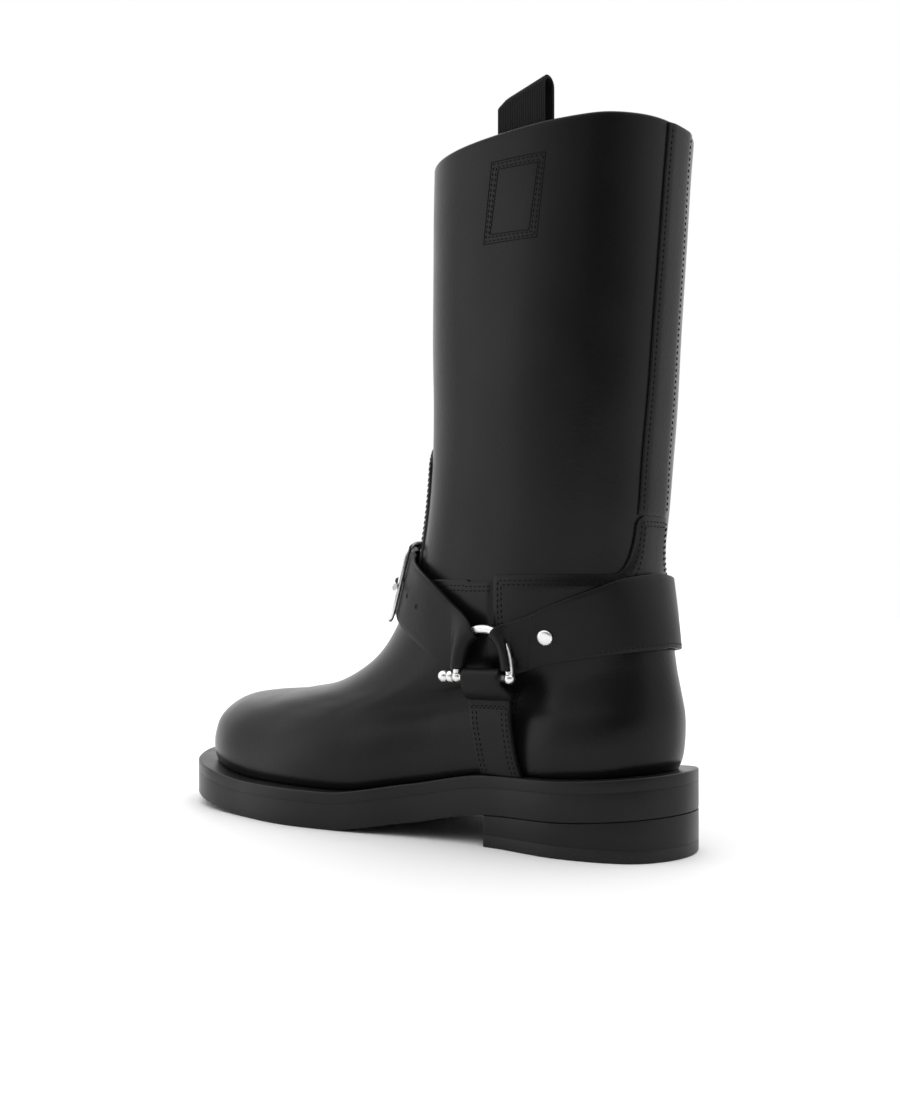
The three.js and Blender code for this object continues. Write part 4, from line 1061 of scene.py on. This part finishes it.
INNER_END = BUCKLE["bearing"] - REAR_AHEAD * PER_AHEAD
run = strap_between(INSTEP_ROWS, INNER_END + 0.03, 1 - INSTEP_START, 110, None, ACROSS)
turn = np.linspace(-0.95 * np.pi, 0.5 * np.pi, 22)[::-1, None]
radius = BUCKLE["eye"] - STRAP / 2
aside = ((ACROSS - 0.5) / PER_ASIDE)[None, :]
eye = on_buckle(REAR_AHEAD + np.sin(turn) * 0 + np.cos(turn) * radius,
                aside + 0 * turn, REAR_OUT + np.sin(turn) * radius)
inner_end = wrap_end(FRAMES["inner"], 1 - mix(*FRONT_GRIP, ACROSS), run[-1], run[-2])
ribbon("instep_strap_inner", np.concatenate([run, inner_end]), thinned(110, (False, True)),
       STRAP_LEATHER, ["instep_strap_inner"])
ribbon("buckle_strap_eye", eye, STRAP * 0.8, STRAP_LEATHER)


# %% Arch straps
def arch_middle(side, frame_of, count=40):
    """From the welt up the side, then round the shackle's pin and down behind."""
    pin_up = frame_of[0][2]
    share = np.linspace(0, 0.84, count)
    up = mix(float(welt_top(SHACKLE["place"])) + 2 * WELT_SEAT, pin_up, share)
    front, back, rise = (monotone(ARCH_ROWS[:, 0], ARCH_ROWS[:, k], share) for k in (1, 2, 3))
    low = face_along(side, SHACKLE["place"] + back * SHACKLE["width"], up)
    high = face_along(side, SHACKLE["place"] + front * SHACKLE["width"], up)
    centre = face_along(side, (along_of(low[0]) + along_of(high[0])) / 2, up)
    widen = lambda pair: (pair[0][:, None], pair[1][:, None])
    run = lean(widen(low), widen(high), [widen(centre)], rise[:, None], ACROSS[None, :],
               np.full((count, 1), ARCH_STRAP / 2))
    half = SHACKLE["width"] / 2 - SHACKLE["foot"] - 4 * WIRE_CLEARANCE
    pin = np.stack([mix(half, -half, ACROSS) * side, 0 * ACROSS, 0 * ACROSS], -1)
    wire = in_frame(pin, frame_of)
    upward, off = frame_of[1][1], frame_of[1][2]
    radius = SHACKLE["pin"] + WIRE_CLEARANCE + LOOP_PLY / 2
    turn = np.linspace(0, 1.1 * np.pi, 16)[:, None, None]
    circle = wire + radius * (off * np.cos(turn) + upward * np.sin(turn))
    start, end = run[-1], circle[0]
    length = np.linalg.norm(end - start, axis=-1, keepdims=True)
    lead_in, lead_out = unit(run[-1] - run[-2]) * length, upward * length
    q = np.linspace(0, 1, 10)[1:-1, None, None]
    bridge = ((2 * q**3 - 3 * q**2 + 1) * start + (q**3 - 2 * q**2 + q) * lead_in
              + (-2 * q**3 + 3 * q**2) * end + (q**3 - q**2) * lead_out)
    return np.concatenate([run, bridge, circle])


ARCH = {}
for name, side in (("outer", 1), ("inner", -1)):
    ARCH[name] = arch_middle(side, FRAMES[name])
    ribbon(f"arch_strap_{name}", ARCH[name], ARCH_STRAP, STRAP_LEATHER, [f"arch_strap_{name}"])


# %% [markdown]
# ## Metal
# The shackle is a bow of round wire whose feet carry a straight pin with a turned knob. A wire is
# a circle carried along a path; a knob is a profile turned about an axis.

# %% Turned and swept metal
def sweep(name, path, radius, material, sides=20):
    """A round tube: at each point of the path a circle lies square to the path's direction."""
    path = np.asarray(path, float)
    heading = unit(np.gradient(path, axis=0))
    normal = unit(np.cross(heading, np.cross(path[-1] - path[0], path[len(path) // 2] - path[0])))
    third = np.cross(heading, normal)
    turn = np.linspace(0, 2 * np.pi, sides, endpoint=False)[None, :, None]
    radius = np.broadcast_to(np.asarray(radius, float), len(path))[:, None, None]
    circle = np.cos(turn) * normal[:, None] + np.sin(turn) * third[:, None]
    loops = path[:, None] + radius * circle
    return make_piece(name, loops, tube_faces(*loops.shape[:2]), material)


def turned(name, origin, axis, aside, profile, material, replaced=(), sides=36):
    """A profile of (distance along the axis, radius) turned once round the axis."""
    profile = np.asarray(profile, float)
    third = np.cross(axis, aside)
    turn = np.linspace(0, 2 * np.pi, sides, endpoint=False)[None, :, None]
    loops = (origin + profile[:, 0, None, None] * axis
             + profile[:, 1, None, None] * (np.cos(turn) * aside + np.sin(turn) * third))
    return make_piece(name, loops, tube_faces(*loops.shape[:2]), material, replaced)


def join_pieces(name, pieces, replaced):
    """Joins pieces into one object that stands for a CAD node."""
    for other in bpy.context.selected_objects:
        other.select_set(False)
    for piece in pieces:
        piece.select_set(True)
    bpy.context.view_layer.objects.active = pieces[0]
    bpy.ops.object.join()
    pieces[0].name = name
    pieces[0].data.name = name
    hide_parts(replaced)
    return pieces[0]


def ball_profile(centre, radius, start=-1.0, end=1.0, count=13):
    """Points of a half circle about a centre on the axis, for a turned ball."""
    x = np.sin(np.linspace(np.arcsin(start), np.arcsin(end), count))
    return [(centre + radius * v, radius * math.sqrt(max(1 - v * v, 1e-6))) for v in x]


def build_shackle(name, side):
    """Bow, feet, pin, collar and knob of one shackle."""
    centre, axes = FRAMES[name]
    half, ahead = SHACKLE["width"] / 2, -side
    knob_at, knob = half + SHACKLE["knob"] * 1.5, SHACKLE["knob"]
    bow = sweep(f"bow_{name}", in_frame(bow_point(np.linspace(0, 1, 60)), (centre, axes)),
                SHACKLE["wire"], NICKEL)
    axis = axes[0] * ahead
    profile = ball_profile(-half, SHACKLE["foot"], -1.0, 0.7)
    profile += [(-half + 2.2, SHACKLE["pin"]), (half - 2.2, SHACKLE["pin"])]
    profile += ball_profile(half, SHACKLE["foot"], -0.7, 0.7)
    profile += [(half + 2.0, SHACKLE["pin"]), (knob_at - knob, SHACKLE["pin"])]
    profile += [(knob_at - knob, knob * 0.7), (knob_at - knob + 0.4, knob * 0.78),
                (knob_at - 1.2, knob * 0.78), (knob_at - 0.8, knob * 0.5)]
    profile += ball_profile(knob_at + knob * 0.5, knob * 0.8, -0.85, 1.0)
    pin = turned(f"pin_{name}", centre, axis, axes[2], profile, NICKEL)
    return join_pieces(f"shackle_{name}", [bow, pin], f"shackle_{name}")


for name, side in (("outer", 1), ("inner", -1)):
    build_shackle(name, side)

# %% Rivets
for name, side in (("outer", 1), ("inner", -1)):
    bearing = side * 0.094
    head = strap_point(HEEL_ROWS, bearing, 0.49, STRAP + 0.6)
    normal = unit(head - strap_point(HEEL_ROWS, bearing, 0.49, 0.0))
    aside = unit(np.cross(normal, [0, 0, 1.0]))
    t = np.linspace(0, np.pi / 2, 9)
    dome = [(-0.4, 1e-3), (-0.4, 3.3), (0.1, 3.5)]
    dome += [(0.1 + 1.2 * math.sin(a), max(3.5 * math.cos(a) ** 0.7, 1e-3)) for a in t]
    turned(f"rivet_{name}", head + normal * 0.35, normal, aside, dome, NICKEL, [f"rivet_{name}"])

# %% Buckle
steps, ring = 96, 12
angle = np.linspace(0, 2 * np.pi, steps, endpoint=False)
fill = lambda v: np.sign(v) * np.abs(v) ** 0.45
mid_ahead = fill(np.cos(angle)) * BUCKLE["length"] / 2
mid_aside = fill(np.sin(angle)) * BUCKLE["width"] / 2
forward = ease(mid_ahead / BUCKLE["length"], -0.5, 0.3)
base = mix(REAR_OUT - BUCKLE["thickness"] / 2, FRONT_OUT, forward)
bar = BUCKLE["bar"] * mix(BUCKLE["rear"], 1, forward)
turn = np.linspace(0, 2 * np.pi, ring, endpoint=False)
fill2 = lambda v: np.sign(v) * np.abs(v) ** 0.7
inward, rise = (1 - fill2(np.cos(turn))) / 2, (1 + fill2(np.sin(turn))) / 2
ahead = mid_ahead[:, None] - np.sign(mid_ahead)[:, None] * np.minimum(
    np.abs(mid_ahead), bar)[:, None] * inward[None, :]
aside = mid_aside[:, None] - np.sign(mid_aside)[:, None] * np.minimum(
    np.abs(mid_aside), BUCKLE["bar"])[:, None] * inward[None, :]
out = base[:, None] + BUCKLE["thickness"] * rise[None, :]
loops = on_buckle(ahead, aside, out)
make_piece("buckle_frame", loops, grid_quads(steps, ring, True, True).tolist(), NICKEL,
           ["buckle_frame"], sharp=60)
place_at = np.array([-0.04, 0.2, 0.36, 0.58]) * BUCKLE["length"]
rise_at = np.array([float(over_bar(BUCKLE["bearing"])) + STRAP + SEAM,
                    FRONT_OUT + BUCKLE["thickness"] * 0.6, FRONT_OUT + BUCKLE["thickness"] + SEAM,
                    FRONT_OUT + BUCKLE["thickness"] + SEAM])
PRONG_STEPS, PRONG_SIDES = 24, 12
fine = np.linspace(place_at[0], place_at[-1], PRONG_STEPS)
lift = monotone(place_at, rise_at, fine)
turn = np.linspace(0, 2 * np.pi, PRONG_SIDES, endpoint=False)[None, :]
loops = on_buckle(fine[:, None] + 0 * turn,
                  BUCKLE["prong"] / 2 * np.cos(turn) + 0 * fine[:, None],
                  lift[:, None] + BUCKLE["prong"] * 0.35 * (1 + np.sin(turn)))
make_piece("buckle_prong", loops, tube_faces(PRONG_STEPS, PRONG_SIDES), NICKEL,
           ["buckle_prong"])

# %% [markdown]
# ## Pull loop
# A folded length of ribbed tape is sewn inside the collar. Its two plies lie together against the
# lining and open into a round fold above the collar, wide enough for a finger.

# %% Pull loop
LOOP = {"place": 58, "width": 25, "rise": 19.5, "depth": 34, "ply": 1.5, "gap": 5.4, "hem": 3.6}


def pull_loop_frame():
    """Origin at the collar and the outward direction, clear of the wall over the tape's width."""
    top = up_at(1.0)
    rim, normal = face_along(1, LOOP["place"], top - 2 * LOOP["ply"])
    out = unit(np.array([normal[0], normal[1], 0]))
    ends = np.array([-1, -1, 1, 1]) * LOOP["width"] / 2
    below = np.array([LOOP["ply"], LOOP["depth"]] * 2)
    face, direction = face_along(1, LOOP["place"] + ends, top - below)
    far = ((face - direction * (UPPER_WALL + SEAM)) @ out).min()
    origin = rim - out * (rim @ out - far)
    origin[2] = top
    return origin, out


origin, out = pull_loop_frame()
sideways = np.cross(out, [0, 0, 1.0])
ply, crown = LOOP["ply"], LOOP["gap"] / 2 + LOOP["ply"] / 2
arc = np.linspace(0, np.pi, 22)
centre_x, centre_z = -(LOOP["gap"] / 2 + ply), LOOP["rise"] - LOOP["gap"] / 2 - ply
front_ply = np.stack([np.full(30, -ply / 2), np.linspace(-LOOP["depth"], centre_z, 30)], 1)
top_arc = np.stack([centre_x + crown * np.cos(arc), centre_z + crown * np.sin(arc)], 1)[1:-1]
fall = np.linspace(0, 1, 26)
back_z = mix(centre_z, -LOOP["depth"], fall)
settle = ease(-back_z, -LOOP["hem"], LOOP["hem"])
back_ply = np.stack([mix(centre_x - crown, -ply * 1.5 - 0.1, settle), back_z], 1)
path = np.vstack([front_ply, top_arc, back_ply])
across = np.linspace(-0.5, 0.5, 15)[None, :, None] * (LOOP["width"] - 1.2)
above = ease(path[:, 1], 0, LOOP["rise"])[:, None]
side_share = across[0, :, 0] / LOOP["width"]
worn = -above * (6.5 * side_share + 1.6 * ease(side_share, 0.3, 0.5))[None, :]
middle = (origin + path[:, None, 0, None] * out + across * sideways
          + (path[:, 1, None] + worn)[..., None] * np.array([0, 0, 1.0]))
tape = ribbon("pull_loop", middle, ply, TAPE, ["pull_loop"])
co = np.empty(len(tape.data.vertices) * 3)
tape.data.vertices.foreach_get("co", co)
co = co.reshape(-1, 3) / MM
corners = np.empty(len(tape.data.loops), int)
tape.data.loops.foreach_get("vertex_index", corners)
lengthwise = co[:, 2] + 0.0
uv = np.stack([(co - origin) @ sideways, lengthwise], 1)
tape.data.uv_layers.new(name="along").data.foreach_set("uv", uv[corners].ravel())

# %% [markdown]
# ## Stitches
# Hundreds of stitches hold a boot together. Each is a short round thread that dips into the
# leather at both ends, only a few dozen faces. A row of them follows a line on the surface, cut
# into equal steps, and all rows of one region are one mesh.


# %% Stitch rows
def resample(points, normals, step):
    """Points, normals and headings at equal steps along a line."""
    gaps = np.linalg.norm(np.diff(points, axis=0), axis=1)
    run = np.concatenate([[0], np.cumsum(gaps)])
    count = max(int(run[-1] / step), 1)
    at = (np.arange(count) + 0.5) * run[-1] / count
    pick = lambda values: np.stack([np.interp(at, run, values[:, k]) for k in range(3)], 1)
    place_at = lambda d: np.stack([np.interp(at + d, run, points[:, k]) for k in range(3)], 1)
    ahead = place_at(0.2) - place_at(-0.2)
    return pick(points), unit(pick(normals)), unit(ahead)


STITCH_RINGS, STITCH_SIDES, STITCH_SUNK = 6, 6, 0.06


def stitches(name, rows, length=1.7, gap=0.8, radius=0.25):
    """Rings of six points along each stitch: their radius swells in the middle, and their height
    is a low arch that starts and ends under the surface."""
    along = np.array([-0.5, -0.43, -0.18, 0.18, 0.43, 0.5]) * length
    thick = np.array([0.35, 0.8, 1.0, 1.0, 0.8, 0.35]) * radius
    rise = np.array([-0.3, -0.05, 0.16, 0.16, -0.05, -0.3]) - STITCH_SUNK
    turn = np.arange(STITCH_SIDES) * 2 * np.pi / STITCH_SIDES
    wide = (thick[:, None] * np.cos(turn))[None, ..., None]
    tall = (rise[:, None] + thick[:, None] * np.sin(turn))[None, ..., None]
    blocks = []
    for points, normals in rows:
        centre, normal, heading = resample(points, normals, length + gap)
        aside = np.cross(normal, heading)
        ring = (centre[:, None, None] + heading[:, None, None] * along[None, :, None, None]
                + aside[:, None, None] * wide + normal[:, None, None] * tall)
        blocks.append(ring.reshape(-1, 3))
    points = np.vstack(blocks)
    size = STITCH_RINGS * STITCH_SIDES
    count = len(points) // size
    one = tube_faces(STITCH_RINGS, STITCH_SIDES)
    faces = [[corner + size * i for corner in face] for i in range(count) for face in one]
    print(name, count, "stitches")
    return make_piece(name, points, faces, THREAD, sharp=80)


def on_cover(around, up, front, edge_height, tongue):
    """A line on a cover's face, with its normals."""
    rows = row_at(around, up)
    rise = cover_rise(near_face(around, rows), front, edge_height, tongue)
    return off_last(around, rows, rise), last_normal(around, rows)


def cover_line(side, front, edge_height, tongue, inset, seam_gap):
    """The line that lies an inset inside a cover's edge: level from the side seam, up the
    tongue's side and across its top to the middle."""
    foot = HEEL_SEAT + edge_height
    top = HEEL_SEAT + tongue["top"] - inset
    heights = mix(foot - inset, top, np.linspace(0, 1, 160) ** 2.5)
    half = np.minimum(tongue_half(heights, tongue, foot, inset), cover_top(side, heights, front))
    climb = tongue_turn(side, heights, half, front)
    level = np.array([foot - inset])
    first = around_at(side, level, along_of, SIDE_SEAM + (seam_gap if front else -seam_gap))[0]
    middle = (0.5 if front else 0.0) if side > 0 else (0.5 if front else 1.0)
    around = np.concatenate([np.linspace(first, climb[0], 40)[:-1], climb,
                             np.linspace(climb[-1], middle, 14)[1:]])
    up = np.concatenate([np.full(39, foot - inset), heights, np.full(13, top)])
    return on_cover(around, up, front, edge_height, tongue)


def seam_line(side, gap):
    """A line up the counter beside its front edge, from the welt to the top rows."""
    up = np.linspace(float(welt_top(SIDE_SEAM)) + 3, HEEL_SEAT + COUNTER_EDGE - gap, 60)
    around = around_at(side, up, along_of, np.full(60, SIDE_SEAM - gap))
    return on_cover(around, up, False, COUNTER_EDGE, COUNTER_TONGUE)


INSETS, STAY_INSET = (2.3, 4.2), 2.1
cover_rows = []
for side in (1, -1):
    for inset in INSETS:
        cover_rows.append(cover_line(side, True, VAMP_EDGE, VAMP_TONGUE, inset, 1.5))
        cover_rows.append(cover_line(side, False, COUNTER_EDGE, COUNTER_TONGUE, inset, inset))
        cover_rows.append(seam_line(side, inset))
stitches("cover_stitches", cover_rows)

# %% Stitches up the back strip
line_up = np.linspace(STAY_FOOT + 2, STAY_TOP - 2, 120)
stay_rows = [on_stay(line_up, stay_edge(side, line_up) - side * STAY_INSET) for side in (1, -1)]
stitches("stay_stitches", stay_rows)

# %% Stitched box on the leg
# The box holds the ends of the pull loop's tape on the inside. Its corners are (along, up).
BOX = np.array([[42.9, 297.4], [71.0, 298.6], [75.8, 263.8], [47.6, 262.2]])


def leg_box(inset, count=40):
    """A closed four-sided line on the leg, moved towards its own middle."""
    middle = BOX.mean(0)
    size = np.abs(BOX - middle)
    inner = middle + (BOX - middle) * (1 - inset / size)
    corners = np.vstack([inner, inner[:1]])
    line = np.vstack([mix(a, b, np.linspace(0, 1, count)[:, None])
                      for a, b in zip(corners[:-1], corners[1:])])
    around = around_at(1, line[:, 1], along_of, line[:, 0])
    rows = row_at(around, line[:, 1])
    return off_last(around, rows, leg_relief(around, rows)), last_normal(around, rows)


stitches("leg_box_stitches", [leg_box(1.2), leg_box(2.8)], length=1.6, gap=0.6, radius=0.24)
# Two unbroken thread lines, round the box's outer edge and inside its stitch rows, are painted
# shade: dark lines standing in for the shade in the creases there.
stitches("leg_box_crease_shade", [leg_box(0.1), leg_box(3.8)], length=1.9, gap=-0.5, radius=0.2)

# %% Stitches on the straps
def strap_line(rows, first, last, across, count=120):
    """A line along a strap's outer face."""
    bearing = np.linspace(first, last, count)
    points = strap_point(rows, bearing, across, STRAP)
    return points, unit(points - strap_point(rows, bearing, across, 0.0))


def ribbon_line(middle, stations, across, thickness):
    """A line on the outer face of a ribbon, at stations and places across its grid."""
    normal = unit(np.cross(np.gradient(middle, axis=0), np.gradient(middle, axis=1)))
    read = lambda grid: np.stack([np.array([
        np.interp(a, ACROSS, grid[s, :, k]) for s, a in zip(stations, across)])
        for k in range(3)], 1)
    facing = read(normal)
    return read(middle) + facing * thickness / 2, facing


strap_rows = [strap_line(HEEL_ROWS, -0.1, 0.1, 0.075)]
for name, side in (("outer", 1), ("inner", -1)):
    middle = ARCH[name]
    for inset in (0.09, 0.19):
        end = 31 - int(round(inset * 14))
        climb = np.arange(1, end)
        over = np.linspace(inset, 1 - inset, 12)
        stations = np.concatenate([climb, np.full(12, end), climb[::-1]])
        across = np.concatenate([np.full(len(climb), inset), over, np.full(len(climb), 1 - inset)])
        points, facing = ribbon_line(middle, stations, across, ARCH_STRAP)
        outward = np.sign((facing * FRAMES[name][1][2]).sum(1).mean())
        strap_rows.append((points + facing * ARCH_STRAP / 2 * (outward - 1), facing * outward))
stitches("strap_stitches", strap_rows, length=1.6, gap=0.7, radius=0.24)

# An unbroken thread line along the edge of the folded-back ply is painted shade: a dark line
# standing in for the shade at the ply's step.
down = np.linspace(0.97, 0.5, 30)
edge = strap_point(HEEL_ROWS, PLY_END, down, STRAP + 0.35)
facing = unit(edge - strap_point(HEEL_ROWS, PLY_END, down, 0.0))
stitches("ply_step_shade", [(edge, facing)], length=1.6, gap=-0.4, radius=0.3)

# %% Punched holes, drawn as dark discs of painted shade
for ahead in (24.0, 36.0):
    bearing = BUCKLE["bearing"] - ahead * PER_AHEAD
    spot = strap_point(INSTEP_ROWS, bearing, 0.5, STRAP + 0.35 + float(over_bar(bearing)))
    facing = unit(spot - strap_point(INSTEP_ROWS, bearing, 0.5, 0.0))
    aside = unit(np.cross(facing, [0, 0, 1.0]))
    # The strap has no hole: a flat dark disc with a low rim lies on its face, painted shade in
    # place of the hole.
    profile = [(-0.3, 1e-3), (-0.3, 1.1), (0.06, 1.25), (0.1, 1.15), (0.06, 1.0), (0.03, 1e-3)]
    turned(f"hole_shade_disc_{int(ahead)}", spot, facing, aside, profile, THREAD, sides=24)

# %% [markdown]
# ## Floor, light and camera
# The boot stands on a plain pale floor in a soft studio. Black leather shows little but what it
# reflects, so the surround does most of the work: it is dark on the camera's side, brighter to
# both sides and brightest behind the boot, and its smooth steps draw the darker band down the
# leg. One wide light to the side and one soft light from above do the rest. The camera stands
# where the photograph was taken.

# %% Floor
floor_mesh = bpy.data.meshes.new("floor")
size = 6.0
floor_mesh.from_pydata([(-size, -size, 0), (size, -size, 0), (size, size, 0), (-size, size, 0)],
                       [], [(0, 1, 2, 3)])
floor = bpy.data.objects.new("floor", floor_mesh)
bpy.context.scene.collection.objects.link(floor)
pale, tree, shader = new_material("pale_floor")
where = add(tree, "ShaderNodeTexCoord")
cloud = add(tree, "ShaderNodeTexNoise", Vector=where.outputs["Object"], Scale=2.0)
tree.links.new(ramp(tree, cloud.outputs[0], (0.86, 0.86, 0.86), (0.88, 0.88, 0.88)),
               shader.inputs["Base Color"])
set_values(shader, Roughness=0.6, Specular_IOR_Level=0.2)
floor_mesh.materials.append(pale)


# %% Lights
def soft_light(name, where, aim, size, power):
    """A rectangular light of a given width and height, turned towards a point."""
    data = bpy.data.lights.new(name, "AREA")
    data.shape, data.energy = "RECTANGLE", power
    data.size, data.size_y = size
    lamp = bpy.data.objects.new(name, data)
    lamp.location = where
    direction = np.array(aim) - np.array(where)
    lamp.rotation_euler = Vector(direction).to_track_quat("-Z", "Y").to_euler()
    bpy.context.scene.collection.objects.link(lamp)
    return lamp


soft_light("side_light", (1.25, -1.1, 0.35), (0, 0, 0.16), (0.9, 1.3), 3)
sky = bpy.data.lights.new("top_light", "SUN")
sky.energy, sky.angle = 1.6, math.radians(100)
top = bpy.data.objects.new("top_light", sky)
top.location = (0, 0, 2)
bpy.context.scene.collection.objects.link(top)


def studio_world(behind, dark, side, back, seen):
    """A surround that is dark on the camera's side, brighter to both sides and brightest behind
    the boot, set by smooth steps of a direction's cosine. The camera itself sees one pale tone."""
    world = bpy.data.worlds.new("studio")
    world.use_nodes = True
    tree = world.node_tree
    tree.nodes["Background"].inputs["Color"].default_value = (1, 1, 1, 1)
    where = add(tree, "ShaderNodeTexCoord")
    facing = add(tree, "ShaderNodeVectorMath", {"operation": "DOT_PRODUCT"},
                 i0=where.outputs["Generated"], i1=behind)
    smooth = {"interpolation_type": "SMOOTHSTEP"}
    beside = add(tree, "ShaderNodeMapRange", smooth, i0=facing.outputs["Value"], i1=-0.97,
                 i2=-0.4, i3=dark, i4=side)
    glow = add(tree, "ShaderNodeMapRange", smooth, i0=facing.outputs["Value"], i1=-0.1,
               i2=0.9, i3=0.0, i4=back - side)
    total = math_node(tree, "ADD", beside.outputs[0], glow.outputs[0])
    ray = add(tree, "ShaderNodeLightPath")
    strength = add(tree, "ShaderNodeMix", i0=ray.outputs["Is Camera Ray"], i2=total, i3=seen)
    tree.links.new(strength.outputs[0], tree.nodes["Background"].inputs["Strength"])
    bpy.context.scene.world = world


studio_world((-0.7565, -0.654, 0.0), 0.05, 1.0, 1.25, 1.0)
bpy.context.scene.view_settings.view_transform = "Standard"
print("lights ready")

# %% Camera
PHI, DISTANCE, SIDE_SHIFT, EYE_UP, FOCAL = 0.713, 566.246, 54.456, 110.512, 1247.9
HEIGHT, HORIZON = 1100, 596.434
camera_data = bpy.data.cameras.new("camera")
SENSOR, PIVOT = 36.0, 60
camera_data.sensor_width = SENSOR
camera_data.lens = FOCAL * SENSOR / HEIGHT
camera_data.shift_y = (HORIZON - HEIGHT / 2) / HEIGHT
camera = bpy.data.objects.new("camera", camera_data)
across_at = DISTANCE * math.cos(PHI) + SIDE_SHIFT * math.sin(PHI)
behind_at = DISTANCE * math.sin(PHI) - SIDE_SHIFT * math.cos(PHI)
camera.location = ((across_at - MIDDLE[1]) * MM, (behind_at + MIDDLE[0] - PIVOT) * MM, EYE_UP * MM)
camera.rotation_euler = (math.pi / 2, 0, math.pi / 2 + PHI)
camera_data.clip_start, camera_data.clip_end = 0.01, 50
bpy.context.scene.collection.objects.link(camera)
bpy.context.scene.camera = camera
print("camera at", [round(v, 4) for v in camera.location])
